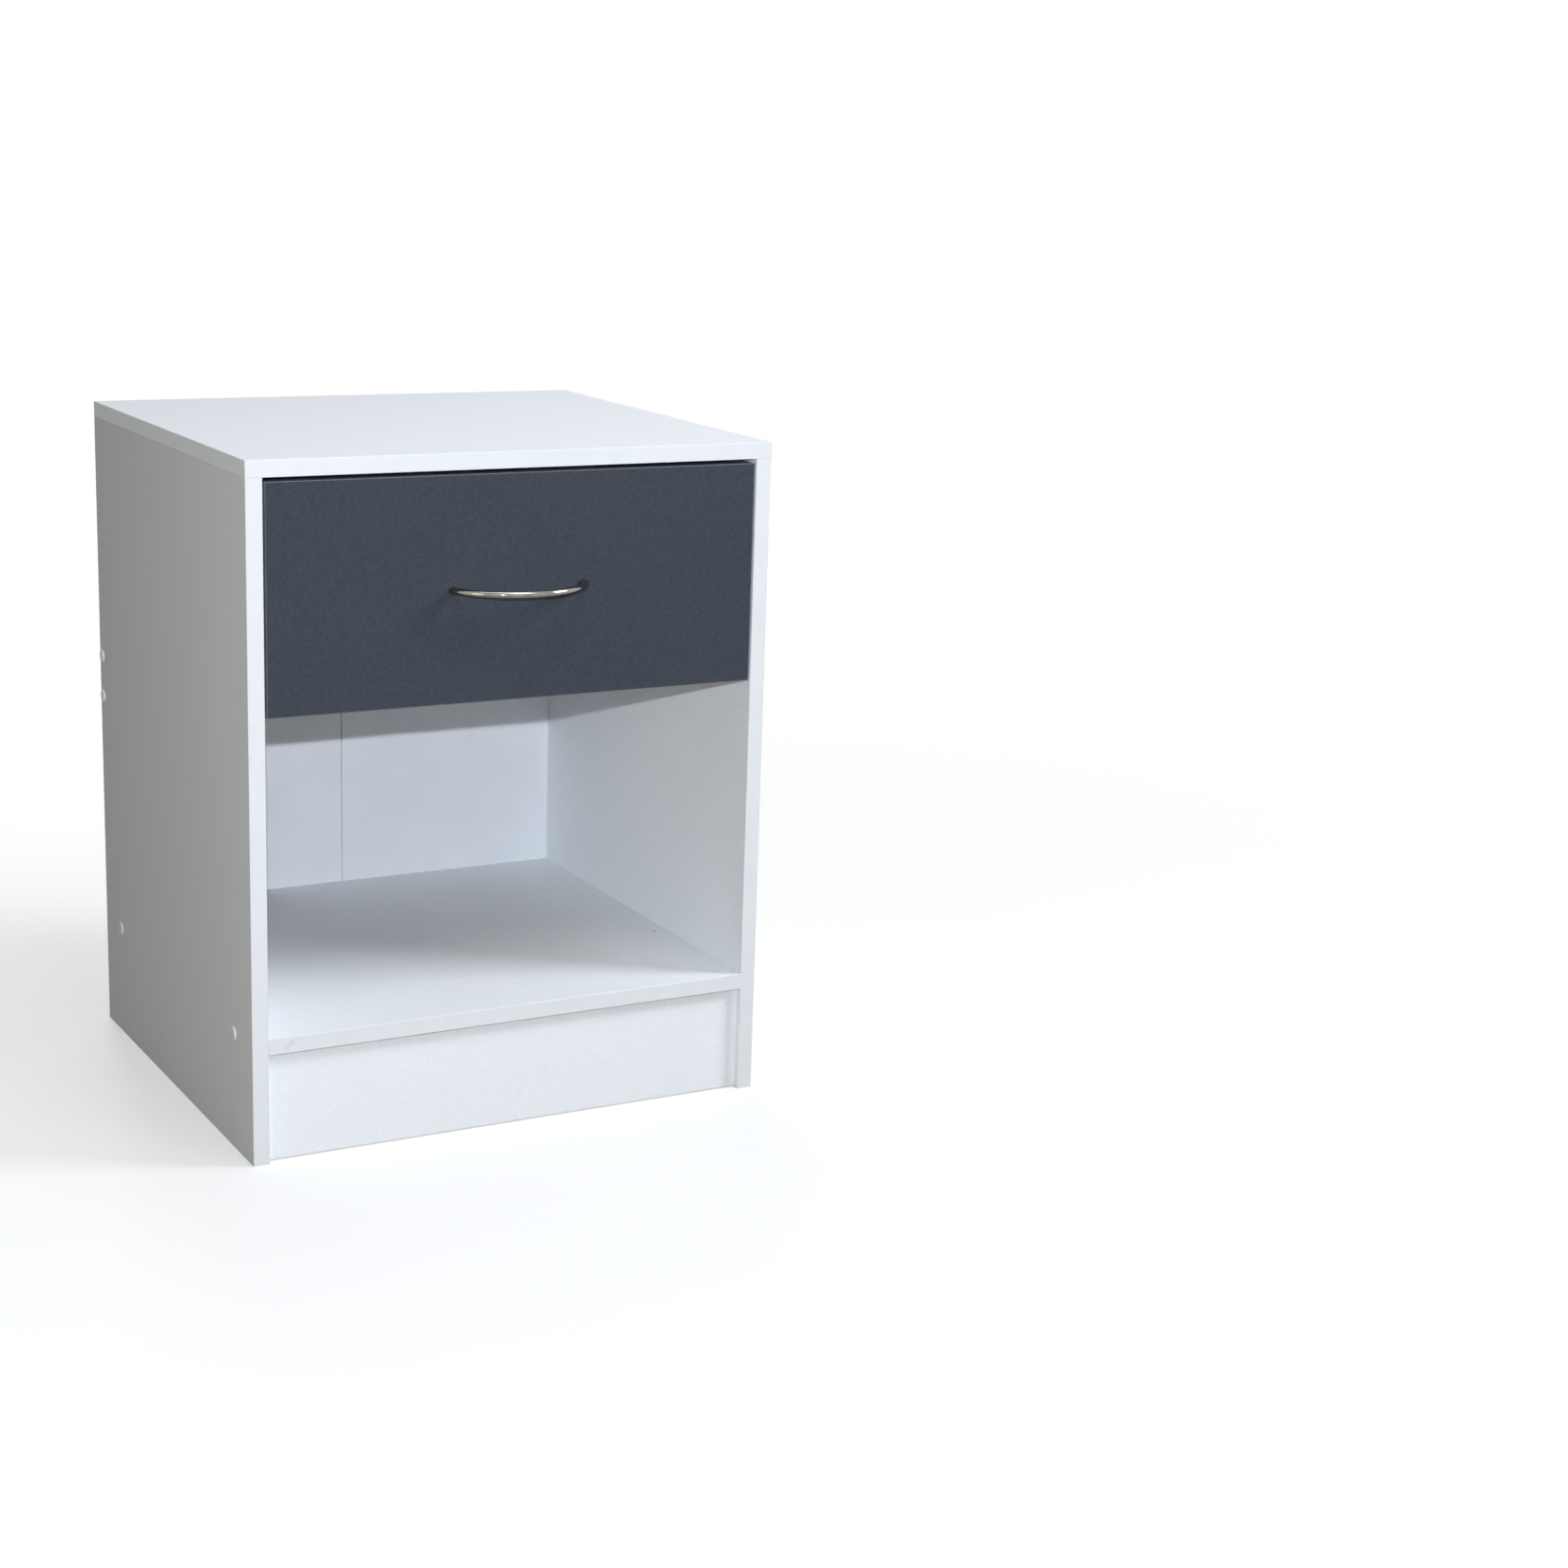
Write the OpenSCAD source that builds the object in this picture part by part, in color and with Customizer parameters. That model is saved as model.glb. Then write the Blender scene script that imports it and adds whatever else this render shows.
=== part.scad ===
// Bedside cabinet with one drawer above an open compartment.
// Flat-pack make: melamine boards on cam connectors, dowels and screws, a folded
// hardboard back, and a drawer on a pair of steel runners with nylon rollers.
// Millimetres. X runs across the front, Y runs towards the back and Z runs up.
// The origin is on the floor, under the middle of the whole object, handle included.

/* [Cabinet] */
// Overall width of the boards
cab_w = 400; // [340:1:520]
// Overall depth, from the front edges to the rear face of the back panel
cab_d = 360; // [350:1:440]
// Overall height
cab_h = 500; // [480:1:640]
// Thickness of the cabinet's boards
board_t = 12; // [12:0.5:18]
// Height of the bottom shelf's underside above the floor
shelf_z = 81; // [60:1:110]
// Distance of the plinth behind the front edges
plinth_recess = 6; // [3:1:40]
// Gap between the plinth and the floor
plinth_lift = 1; // [0.5:0.5:5]
// Height of the rear rail's underside above the floor
rail_z = 253; // [200:1:270]
// Height of the rear rail
rail_h = 64; // [56:1:80]

/* [Edge bands] */
// Thickness of the band glued on a visible board edge
band_t = 0.5; // [0.4:0.1:1]
// Width of the bevel along the band's outer corners
band_bevel = 0.3; // [0.1:0.05:0.35]

/* [Back panel] */
// Thickness of the hardboard
back_t = 3; // [2.5:0.1:4]
// Distance of the back panel's rim inside the cabinet's outer faces
back_rim = 1; // [0.5:0.5:3]
// Width of the open seam between the two leaves
back_seam = 0.6; // [0.3:0.1:2]
// Width of the tape over the seam
tape_w = 40; // [20:1:60]
// Thickness of the tape
tape_t = 0.3; // [0.2:0.1:0.5]
// Diameter of a nail's shank
nail_d = 1.6; // [1.4:0.1:2]
// Length of a nail under its head
nail_l = 14; // [10:0.5:14]
// Diameter of a nail's head
nail_head_d = 3.6; // [3:0.1:5]
// Thickness of a nail's head
nail_head_t = 0.6; // [0.4:0.1:1]
// Distance from a board's end to the first nail
nail_inset = 28; // [20:1:40]

/* [Drawer] */
// Thickness of the drawer front
front_t = 12; // [12:0.5:18]
// Height of the drawer front
front_h = 162; // [150:1:180]
// Gap between the drawer front and the top panel
front_top_gap = 3; // [2:0.5:6]
// Gap between the drawer front and each side panel
front_side_gap = 1.5; // [1:0.5:4]
// Thickness of the drawer's sides and back
box_t = 12; // [12:0.5:16]
// Height of the drawer's sides
box_h = 110; // [100:1:120]
// Height of the drawer sides' lower edges above the front's lower edge
box_rise = 16; // [16:0.5:24]
// Free depth behind the drawer when it is shut
box_rear_gap = 45; // [40:1:60]
// Thickness of the drawer's bottom panel
bottom_t = 3; // [2.5:0.1:5]
// Height of the groove for the bottom panel above the drawer sides' lower edges
groove_rise = 12; // [12:0.5:16]
// Depth of the groove
groove_depth = 5; // [3:0.5:6]
// Play between the bottom panel and its groove
groove_play = 0.2; // [0.1:0.1:0.5]

/* [Runners] */
// Space between a cabinet side and a drawer side
runner_gap = 12.5; // [12.5:0.1:14]
// Thickness of the runners' steel
steel_t = 1; // [0.8:0.1:1.2]
// How far the drawer opens
slide_travel = 225; // [150:1:228]
// Distance of a cabinet runner behind the drawer front
runner_front_gap = 3; // [2:0.5:6]
// Distance from a runner's end to its roller's axle
roller_inset = 14; // [12:0.5:18]
// Depth of the mounting web below the drawer sides' lower edges
web_drop = 14; // [13:0.5:15]
// Height of the drawer runner's upper flange above the drawer side's lower edge
flange_rise = 18; // [18:0.1:20]
// Width of the drawer runner's lip under the drawer side
seat_w = 10; // [8:0.5:12]
// Sideways play between the two halves of a runner
runner_play = 1; // [0.8:0.1:1.2]
// Diameter of a roller
roller_d = 15; // [14:0.1:15.2]
// Width of a roller
roller_w = 7; // [5:0.1:7.2]
// Diameter of a roller's axle
axle_d = 5; // [4:0.1:6]
// Air between a roller and the track that it runs in
roller_air = 0.3; // [0.2:0.05:0.4]
// End play of a roller on its axle
roller_end_play = 0.1; // [0.05:0.05:0.2]

/* [Handle] */
// Distance between the handle's two screws
handle_pitch = 96; // [64:1:160]
// How far the handle stands out from the drawer front
handle_reach = 34; // [26:1:40]
// Diameter of the handle's bar
handle_bar_d = 5; // [4:0.5:6]
// Diameter of the handle's feet
handle_foot_d = 8; // [7:0.5:10]
// Length of the handle's feet
handle_foot_l = 8; // [7.5:0.5:10]
// Diameter of the handle's screws
handle_screw_d = 4; // [3:0.1:4.5]
// Depth that the screws reach into the feet
handle_screw_grip = 6; // [4:0.5:6]

/* [Fasteners] */
// Radial clearance of a screw, dowel, bolt, cam or axle in its bore
fit = 0.05; // [0.02:0.01:0.08]
// Depth that a blind bore has beyond what it holds
bore_spare = 0.3; // [0.2:0.1:0.5]
// Diameter of a carcass screw's shank
screw_d = 5; // [4:0.1:6]
// Length of a carcass screw
screw_l = 40; // [35:1:60]
// Diameter of a carcass screw's head
screw_head_d = 8.5; // [8:0.1:9]
// Distance of the shelf's screws from the shelf's ends
screw_inset = 40; // [34:1:60]
// Distance between the rear rail's two screws
rail_screw_pitch = 32; // [26:1:36]
// Diameter of a screw cap
cap_d = 10; // [9.5:0.1:12]
// Thickness of a screw cap
cap_t = 1; // [0.8:0.1:1.5]
// Diameter of a cam
cam_d = 15; // [12:0.5:15]
// Depth of a cam beyond the axis of its bolt
cam_below_axis = 3.5; // [3:0.1:4]
// Distance of a cam's centre from the joint that it pulls together
cam_setback = 24; // [20:1:34]
// Distance of the top's cams from the side panels' front and rear edges
cam_inset = 60; // [50:1:80]
// Diameter of a cam's bolt
bolt_d = 5; // [4.5:0.1:6]
// Length of the bolt's threaded end
bolt_thread_l = 8.5; // [6:0.5:9]
// Diameter of a dowel
dowel_d = 6; // [5:0.5:6.5]
// Length of a dowel
dowel_l = 25; // [20:1:30]
// Length of a dowel in the board whose face it stands in
dowel_face_l = 8; // [6:0.5:9]
// Distance of the top's dowels from the side panels' front and rear edges
dowel_inset = 28; // [20:1:36]
// Distance of the plinth's dowels from its upper and lower edges
plinth_dowel_inset = 20; // [12:1:24]
// Distance of the drawer's dowels from its cams
drawer_dowel_pitch = 32; // [24:1:34]
// Diameter of a small screw's shank
small_screw_d = 3.5; // [3:0.1:4]
// Length of a runner screw
runner_screw_l = 11; // [9:0.5:11]
// Length of a screw through a drawer side into the drawer back
box_screw_l = 35; // [30:1:45]
// Distance of the drawer back's screws from its upper and lower edges
box_screw_inset = 22; // [14:1:30]
// Distance of the runner screws from the runners' ends
runner_screw_inset = 40; // [30:1:60]

/* [Hidden] */
$fn = 48;

// Colours
melamine_white = "#e6ebf0";
melamine_grey = "#464d56";
hardboard_white = "#dde2e6";
zinc = "#b9bcc0";
runner_white = "#f0f0ec";
nylon = "#f4f2ea";
beech = "#c9a272";

// A cut is carried this far past a face that it opens
over = 1;

// The cabinet's main planes
half_w = cab_w / 2;
inner_x = half_w - board_t;
inner_w = 2 * inner_x;
side_h = cab_h - board_t;
carcass_d = cab_d - back_t;
rear_proud = max(tape_t, nail_head_t);
front_y = (handle_reach - cab_d - rear_proud) / 2;
back_y = front_y + carcass_d;
rear_y = back_y + back_t;
shelf_top = shelf_z + board_t;
side_mid_x = half_w - board_t / 2;
rail_mid_z = rail_z + rail_h / 2;
plinth_mid_y = front_y + plinth_recess + board_t / 2;

// The back panel
leaf_x = half_w - back_rim;
leaf_z0 = shelf_z + back_rim;
leaf_z1 = cab_h - back_rim;

// The drawer, shut
front_w = inner_w - 2 * front_side_gap;
front_z = side_h - front_top_gap - front_h;
box_y = front_y + front_t;
box_l = carcass_d - front_t - box_rear_gap;
box_end_y = box_y + box_l;
box_x = inner_x - runner_gap;
box_in_x = box_x - box_t;
box_mid_x = box_x - box_t / 2;
box_z = front_z + box_rise;
bottom_z = box_z + groove_rise;
cam_z = box_z + box_h / 2;
drawer_dowel_heights = [cam_z - drawer_dowel_pitch, cam_z + drawer_dowel_pitch];
handle_z = front_z + front_h / 2;
foot_x = handle_pitch / 2;

// The runners: heights are above the drawer side's lower edge
run_y = box_y + runner_front_gap;
run_l = box_l;
track_h = roller_d + 2 * roller_air;
track_w = runner_gap - steel_t - runner_play;
flange_air = 1;
flange_edge_air = 0.6;
track_floor = flange_rise - flange_air - steel_t - track_h;
rear_axle_z = track_floor + track_h / 2;
front_axle_z = flange_rise - roller_air - roller_d / 2;
front_axle_y = run_y + roller_inset;
rear_axle_y = box_end_y - roller_inset;
front_stop_y = rear_axle_y - slide_travel - roller_d / 2 - roller_air;
rear_stop_y = rear_axle_y + roller_d / 2 + roller_air;
stop_air = 3;
stop_w = track_w - stop_air;
ceiling_gap = 2;
flange_w = runner_gap - 2 * steel_t - flange_edge_air;
web_screw_z = -(web_drop + steel_t - track_floor) / 2;

// Axles
axle_shoulder_rim = 1.5;
axle_head_rim = 2;
axle_head_t = 0.9;
cabinet_shoulder_l = 1;
drawer_shoulder_l = 1.9;
roller_round = 0.5;

// Fasteners
screw_rim = 0.6;
socket_d = 4 / cos(30);
socket_depth = 2.4;
cap_stub_l = 1.6;
cap_stub_play = 0.2;
small_head_d = 6.5;
small_head_h = 1.8;
pan_head_d = 8;
pan_head_h = 2.4;
pan_bevel = 1;
recess_w = 0.9;
recess_l = 3.6;
recess_depth = 1.2;
bolt_neck_depth = 1;
bolt_neck_l = 4;
bolt_head_l = 4;
bolt_past = 2;
dowel_round = 0.8;
runner_screws = 3;
drawer_nails = 3;
// Places of the nails along a leaf's upper and lower edge, as shares of its inner width
nail_shares = [0.35, 0.75];

// ---- Placing -------------------------------------------------------------------------

// Children are made for the left-hand side of the cabinet and repeated on the right
module both_sides() {
    children();
    mirror([1, 0, 0]) children();
}

// From the left side panel's outer face inwards, at each carcass screw
module carcass_screw_places() {
    shelf_places = [for (y = [front_y + screw_inset, back_y - screw_inset]) [y, shelf_z + board_t / 2]];
    rail_places = [for (s = [-1, 1]) [back_y - board_t / 2, rail_mid_z + s * rail_screw_pitch / 2]];
    for (p = concat(shelf_places, rail_places))
        translate([-half_w, p[0], p[1]]) rotate([0, 90, 0]) children();
}

// From the left side panel's inner face into the board, local X up towards the top
module top_cam_places() {
    for (y = [front_y + cam_inset, back_y - cam_inset])
        translate([-inner_x, y, side_h - cam_setback]) rotate([0, -90, 0]) children();
}

// From the joint under the top panel down into the left side panel
module top_bolt_places() {
    for (y = [front_y + cam_inset, back_y - cam_inset])
        translate([-side_mid_x, y, side_h]) rotate([180, 0, 0]) children();
}

module top_dowel_places() {
    for (y = [front_y + dowel_inset, back_y - dowel_inset])
        translate([-side_mid_x, y, side_h]) rotate([180, 0, 0]) children();
}

// From the left side panel's inner face into the plinth
module plinth_dowel_places() {
    for (z = [plinth_lift + plinth_dowel_inset, shelf_z - plinth_dowel_inset])
        translate([-inner_x, plinth_mid_y, z]) rotate([0, 90, 0]) children();
}

// From the back panel's rear face forwards, on the left leaf
module back_nail_places() {
    edge_z = [shelf_top + nail_inset, (shelf_top + rail_z) / 2, rail_z - nail_inset,
        rail_mid_z, rail_z + rail_h + nail_inset, side_h - nail_inset];
    edge_nails = [for (z = edge_z) [side_mid_x, z]];
    span_nails = [for (share = nail_shares) for (z = [shelf_z, side_h]) [inner_x * share, z + board_t / 2]];
    for (p = concat(edge_nails, span_nails, [[inner_x / 2, rail_mid_z]]))
        translate([-p[0], rear_y, p[1]]) rotate([90, 0, 0]) children();
}

// From the drawer front's rear face back into the left drawer side
module drawer_joint_places(heights) {
    for (z = heights) translate([-box_mid_x, box_y, z]) rotate([-90, 0, 0]) children();
}

module drawer_cam_places() {
    translate([-box_in_x, box_y + cam_setback, cam_z]) rotate([0, -90, 0]) rotate([0, 0, -90]) children();
}

// From the left drawer side's outer face into the drawer back
module box_screw_places() {
    for (z = [bottom_z + bottom_t + box_screw_inset, box_z + box_h - box_screw_inset])
        translate([-box_x, box_end_y - box_t / 2, z]) rotate([0, 90, 0]) children();
}

// From under the drawer's bottom panel up into the drawer back
module bottom_nail_places() {
    step = 2 * box_in_x / drawer_nails;
    for (i = [0 : drawer_nails - 1])
        translate([(i - (drawer_nails - 1) / 2) * step, box_end_y - box_t / 2, bottom_z])
            children();
}

// From the left runner's web into the side panel
module web_screw_places() {
    step = (run_l - 2 * runner_screw_inset) / (runner_screws - 1);
    for (i = [0 : runner_screws - 1])
        translate([-inner_x + steel_t, run_y + runner_screw_inset + i * step, box_z + web_screw_z])
            rotate([0, -90, 0]) children();
}

// From under the left drawer runner's lip up into the drawer side
module seat_screw_places() {
    for (y = [box_y + runner_screw_inset, box_end_y - runner_screw_inset])
        translate([-box_mid_x, y, box_z - steel_t]) children();
}

// From inside the drawer front out into the handle's left foot
module handle_screw_places() {
    translate([-foot_x, box_y, handle_z]) rotate([90, 0, 0]) children();
}

// From the cabinet side, or from the drawer side, across the runner gap
module front_axle_places() {
    translate([-inner_x, front_axle_y, box_z + front_axle_z]) rotate([0, 90, 0]) children();
}

module rear_axle_places() {
    translate([-box_x, rear_axle_y, box_z + rear_axle_z]) rotate([0, -90, 0]) children();
}

// ---- Fasteners -----------------------------------------------------------------------

// Bore for a round piece of diameter d that lies from z0 to z1
module bore(d, z0, z1) {
    translate([0, 0, z0]) cylinder(d = d + 2 * fit, h = z1 - z0);
}

module cross_recess() {
    for (a = [0, 90]) rotate([0, 0, a])
        translate([-recess_l / 2, -recess_w / 2, -over]) cube([recess_l, recess_w, over + recess_depth]);
}

// Countersunk head and shank, head flush with z = 0
module countersunk(d, head_d, l, grow) {
    cone_h = (head_d - d) / 2;
    cylinder(d = head_d + 2 * grow, h = screw_rim);
    translate([0, 0, screw_rim]) cylinder(d1 = head_d + 2 * grow, d2 = d + 2 * grow, h = cone_h);
    cylinder(d = d + 2 * grow, h = l);
}

module countersunk_bore(d, head_d, l) {
    countersunk(d, head_d, l + bore_spare, fit);
    translate([0, 0, -over]) cylinder(d = head_d + 2 * fit, h = over + screw_rim);
}

module carcass_screw() {
    difference() {
        countersunk(screw_d, screw_head_d, screw_l, 0);
        translate([0, 0, -over]) cylinder(d = socket_d, h = over + socket_depth, $fn = 6);
    }
}

// Cap: a bevelled disc on the board's face with a stub in the screw's socket
module screw_cap() {
    bevel = cap_t / 2;
    translate([0, 0, -bevel]) cylinder(d = cap_d, h = bevel);
    translate([0, 0, -cap_t]) cylinder(d1 = cap_d - 2 * bevel, d2 = cap_d, h = bevel);
    translate([0, 0, -bevel]) cylinder(d = socket_d - cap_stub_play, h = bevel + cap_stub_l, $fn = 6);
}

module small_countersunk_screw(l) {
    difference() {
        countersunk(small_screw_d, small_head_d, l, 0);
        cross_recess();
    }
}

// Pan-head screw, its head on the near side of z = 0
module pan_screw(d, head_d, head_h, l) {
    difference() {
        union() {
            translate([0, 0, -head_h / 2]) cylinder(d = head_d, h = head_h / 2);
            translate([0, 0, -head_h]) cylinder(d1 = head_d - 2 * pan_bevel, d2 = head_d, h = head_h / 2);
            cylinder(d = d, h = l);
        }
        translate([0, 0, -head_h]) cross_recess();
    }
}

module nail() {
    translate([0, 0, -nail_head_t]) cylinder(d = nail_head_d, h = nail_head_t, $fn = 24);
    cylinder(d = nail_d, h = nail_l, $fn = 24);
}

module nail_bore() {
    translate([0, 0, -over]) cylinder(d = nail_d + 2 * fit, h = over + nail_l + bore_spare, $fn = 24);
}

// Grooved beech dowel with bevelled ends, from z = -dowel_face_l
module dowel() {
    translate([0, 0, -dowel_face_l]) {
        cylinder(d1 = dowel_d - 2 * dowel_round, d2 = dowel_d, h = dowel_round);
        translate([0, 0, dowel_round]) cylinder(d = dowel_d, h = dowel_l - 2 * dowel_round);
        translate([0, 0, dowel_l - dowel_round])
            cylinder(d1 = dowel_d, d2 = dowel_d - 2 * dowel_round, h = dowel_round);
    }
}

module dowel_bore() {
    bore(dowel_d, -dowel_face_l - bore_spare, dowel_l - dowel_face_l + bore_spare);
}

// Cam disc from z = 0 inwards, its bolt coming in along +X at the depth axis_z
module cam(axis_z) {
    difference() {
        cylinder(d = cam_d, h = axis_z + cam_below_axis);
        translate([0, 0, axis_z]) rotate([0, 90, 0]) bore(bolt_d, -bolt_past - bore_spare, cam_d);
        cross_recess();
    }
}

module cam_pocket(axis_z) {
    bore(cam_d, -over, axis_z + cam_below_axis);
}

// Bolt with its thread below z = 0 and its necked head in the cam
module cam_bolt() {
    bolt_l = cam_setback + bolt_past;
    neck_z = bolt_l - bolt_neck_l - bolt_head_l;
    translate([0, 0, -bolt_thread_l]) cylinder(d = bolt_d, h = bolt_thread_l + neck_z);
    cylinder(d = bolt_d - 2 * bolt_neck_depth, h = bolt_l);
    translate([0, 0, bolt_l - bolt_head_l]) cylinder(d = bolt_d, h = bolt_head_l);
}

module cam_bolt_bore() {
    bore(bolt_d, -bolt_thread_l - bore_spare, cam_setback + bolt_past + bore_spare);
}

// ---- Cabinet -------------------------------------------------------------------------

// Section of an edge band: its outer face on x = 0, its width along y
module band_section(w) {
    polygon([
        [band_t, 0], [band_bevel, 0], [0, band_bevel],
        [0, w - band_bevel], [band_bevel, w], [band_t, w]
    ]);
}

// Band on a front edge that runs along X, from its left end
module front_band(l, w) {
    rotate([90, 0, 90]) linear_extrude(l) band_section(w);
}

// Band on an upper edge that runs along X, from its left end
module level_band(l, w) {
    rotate([0, 90, 0]) linear_extrude(l) band_section(w);
}

module top_panel() {
    color(melamine_white) difference() {
        translate([-half_w + band_t, front_y + band_t, side_h])
            cube([cab_w - 2 * band_t, carcass_d - band_t, board_t]);
        both_sides() {
            top_bolt_places() cam_bolt_bore();
            top_dowel_places() dowel_bore();
            back_nail_places() nail_bore();
        }
    }
}

module left_side_panel() {
    color(melamine_white) difference() {
        translate([-half_w, front_y + band_t, 0]) cube([board_t, carcass_d - band_t, side_h]);
        carcass_screw_places() countersunk_bore(screw_d, screw_head_d, screw_l);
        top_cam_places() cam_pocket(board_t / 2);
        top_bolt_places() cam_bolt_bore();
        top_dowel_places() dowel_bore();
        plinth_dowel_places() dowel_bore();
        back_nail_places() nail_bore();
        web_screw_places() bore(small_screw_d, 0, runner_screw_l + bore_spare);
    }
}

module right_side_panel() {
    mirror([1, 0, 0]) left_side_panel();
}

module bottom_shelf() {
    color(melamine_white) difference() {
        translate([-inner_x, front_y + band_t, shelf_z]) cube([inner_w, carcass_d - band_t, board_t]);
        both_sides() {
            carcass_screw_places() countersunk_bore(screw_d, screw_head_d, screw_l);
            back_nail_places() nail_bore();
        }
    }
}

module plinth() {
    color(melamine_white) difference() {
        translate([-inner_x, front_y + plinth_recess, plinth_lift])
            cube([inner_w, board_t, shelf_z - plinth_lift]);
        both_sides() plinth_dowel_places() dowel_bore();
    }
}

module rear_rail() {
    color(melamine_white) difference() {
        translate([-inner_x, back_y - board_t, rail_z]) cube([inner_w, board_t, rail_h]);
        both_sides() {
            carcass_screw_places() countersunk_bore(screw_d, screw_head_d, screw_l);
            back_nail_places() nail_bore();
        }
    }
}

// Band round the top's front and side edges
module top_edge_band() {
    color(melamine_white) {
        translate([-half_w, front_y, side_h]) front_band(cab_w, board_t);
        both_sides() translate([-half_w, back_y, side_h]) rotate([90, 0, 0])
            linear_extrude(carcass_d - band_t) band_section(board_t);
    }
}

module side_edge_bands() {
    color(melamine_white) both_sides() translate([-half_w, front_y, 0]) mirror([1, -1, 0])
        linear_extrude(side_h) band_section(board_t);
}

module shelf_edge_band() {
    color(melamine_white) translate([-inner_x, front_y, shelf_z]) front_band(inner_w, board_t);
}

module back_panel_left() {
    color(hardboard_white) difference() {
        translate([-leaf_x, back_y, leaf_z0]) cube([leaf_x - back_seam / 2, back_t, leaf_z1 - leaf_z0]);
        back_nail_places() nail_bore();
    }
}

module back_panel_right() {
    mirror([1, 0, 0]) back_panel_left();
}

module back_fold_tape() {
    color(hardboard_white)
        translate([-tape_w / 2, rear_y, leaf_z0]) cube([tape_w, tape_t, leaf_z1 - leaf_z0]);
}

module back_nails() {
    color(zinc) both_sides() back_nail_places() nail();
}

module carcass_screws() {
    color(zinc) both_sides() carcass_screw_places() carcass_screw();
}

module screw_caps() {
    color(runner_white) both_sides() carcass_screw_places() screw_cap();
}

module top_cams() {
    color(zinc) both_sides() top_cam_places() cam(board_t / 2);
}

module top_cam_bolts() {
    color(zinc) both_sides() top_bolt_places() cam_bolt();
}

module top_dowels() {
    color(beech) both_sides() top_dowel_places() dowel();
}

module plinth_dowels() {
    color(beech) both_sides() plinth_dowel_places() dowel();
}

// ---- Runners and rollers -------------------------------------------------------------

// Channel along the side panel: the ceiling starts behind the front roller, and a tab
// across each end of the rear roller's way stops the drawer, open and shut
module cabinet_runner_left() {
    ceiling_y = roller_inset + roller_d / 2 + ceiling_gap;
    track_top = track_floor + track_h;
    color(runner_white) difference() {
        translate([-inner_x, run_y, box_z]) {
            translate([0, 0, -web_drop]) cube([steel_t, run_l, web_drop + track_top + steel_t]);
            translate([0, 0, track_floor - steel_t]) cube([track_w, run_l, steel_t]);
            translate([0, ceiling_y, track_top]) cube([track_w, run_l - ceiling_y, steel_t]);
            for (y = [front_stop_y - steel_t, rear_stop_y])
                translate([0, y - run_y, track_floor]) cube([stop_w, steel_t, track_h]);
        }
        front_axle_places() bore(axle_d, -over, steel_t + over);
        web_screw_places() bore(small_screw_d, -over, steel_t + over);
    }
}

module cabinet_runner_right() {
    mirror([1, 0, 0]) cabinet_runner_left();
}

module cabinet_runner_screws() {
    color(zinc) both_sides() web_screw_places()
        pan_screw(small_screw_d, small_head_d, small_head_h, runner_screw_l);
}

// Lip under the drawer side, wall up its outer face and flange that runs on the front roller
module drawer_runner_left() {
    color(runner_white) difference() {
        translate([-box_x, box_y, box_z]) {
            translate([-steel_t, 0, -steel_t]) cube([steel_t + seat_w, box_l, steel_t]);
            translate([-steel_t, 0, -steel_t]) cube([steel_t, box_l, 2 * steel_t + flange_rise]);
            translate([-flange_w - steel_t, 0, flange_rise]) cube([flange_w + steel_t, box_l, steel_t]);
        }
        rear_axle_places() bore(axle_d, -over, steel_t + over);
        seat_screw_places() bore(small_screw_d, -over, steel_t + over);
    }
}

module drawer_runner_right() {
    mirror([1, 0, 0]) drawer_runner_left();
}

module drawer_runner_screws() {
    color(zinc) both_sides() seat_screw_places()
        pan_screw(small_screw_d, small_head_d, small_head_h, runner_screw_l);
}

// Axle from the steel outwards: shank, shoulder, journal and head
module roller_pin(shoulder_l) {
    roller_end = steel_t + shoulder_l + roller_w + 2 * roller_end_play;
    cylinder(d = axle_d, h = roller_end);
    translate([0, 0, steel_t]) cylinder(d = axle_d + 2 * axle_shoulder_rim, h = shoulder_l);
    translate([0, 0, roller_end]) cylinder(d = axle_d + 2 * axle_head_rim, h = axle_head_t);
}

module roller(shoulder_l) {
    r = roller_d / 2;
    translate([0, 0, steel_t + shoulder_l + roller_end_play]) rotate_extrude(angle = 360) polygon([
        [axle_d / 2 + fit, 0], [r - roller_round, 0], [r, roller_round],
        [r, roller_w - roller_round], [r - roller_round, roller_w], [axle_d / 2 + fit, roller_w]
    ]);
}

module cabinet_roller_pins() {
    color(zinc) both_sides() front_axle_places() roller_pin(cabinet_shoulder_l);
}

module drawer_roller_pins() {
    color(zinc) both_sides() rear_axle_places() roller_pin(drawer_shoulder_l);
}

module front_roller_left() {
    color(nylon) front_axle_places() roller(cabinet_shoulder_l);
}

module front_roller_right() {
    mirror([1, 0, 0]) front_roller_left();
}

module rear_roller_left() {
    color(nylon) rear_axle_places() roller(drawer_shoulder_l);
}

module rear_roller_right() {
    mirror([1, 0, 0]) rear_roller_left();
}

// ---- Drawer --------------------------------------------------------------------------

// Groove for the bottom panel in the front and both sides
module bottom_groove() {
    x = box_in_x + groove_depth;
    translate([-x, box_y - groove_depth, bottom_z])
        cube([2 * x, box_l + groove_depth + over, bottom_t + groove_play]);
}

module drawer_front() {
    color(melamine_grey) difference() {
        translate([-front_w / 2 + band_t, front_y, front_z + band_t])
            cube([front_w - 2 * band_t, front_t, front_h - 2 * band_t]);
        bottom_groove();
        both_sides() {
            drawer_joint_places([cam_z]) cam_bolt_bore();
            drawer_joint_places(drawer_dowel_heights) dowel_bore();
            handle_screw_places() bore(handle_screw_d, -over, front_t + over);
        }
    }
}

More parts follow.
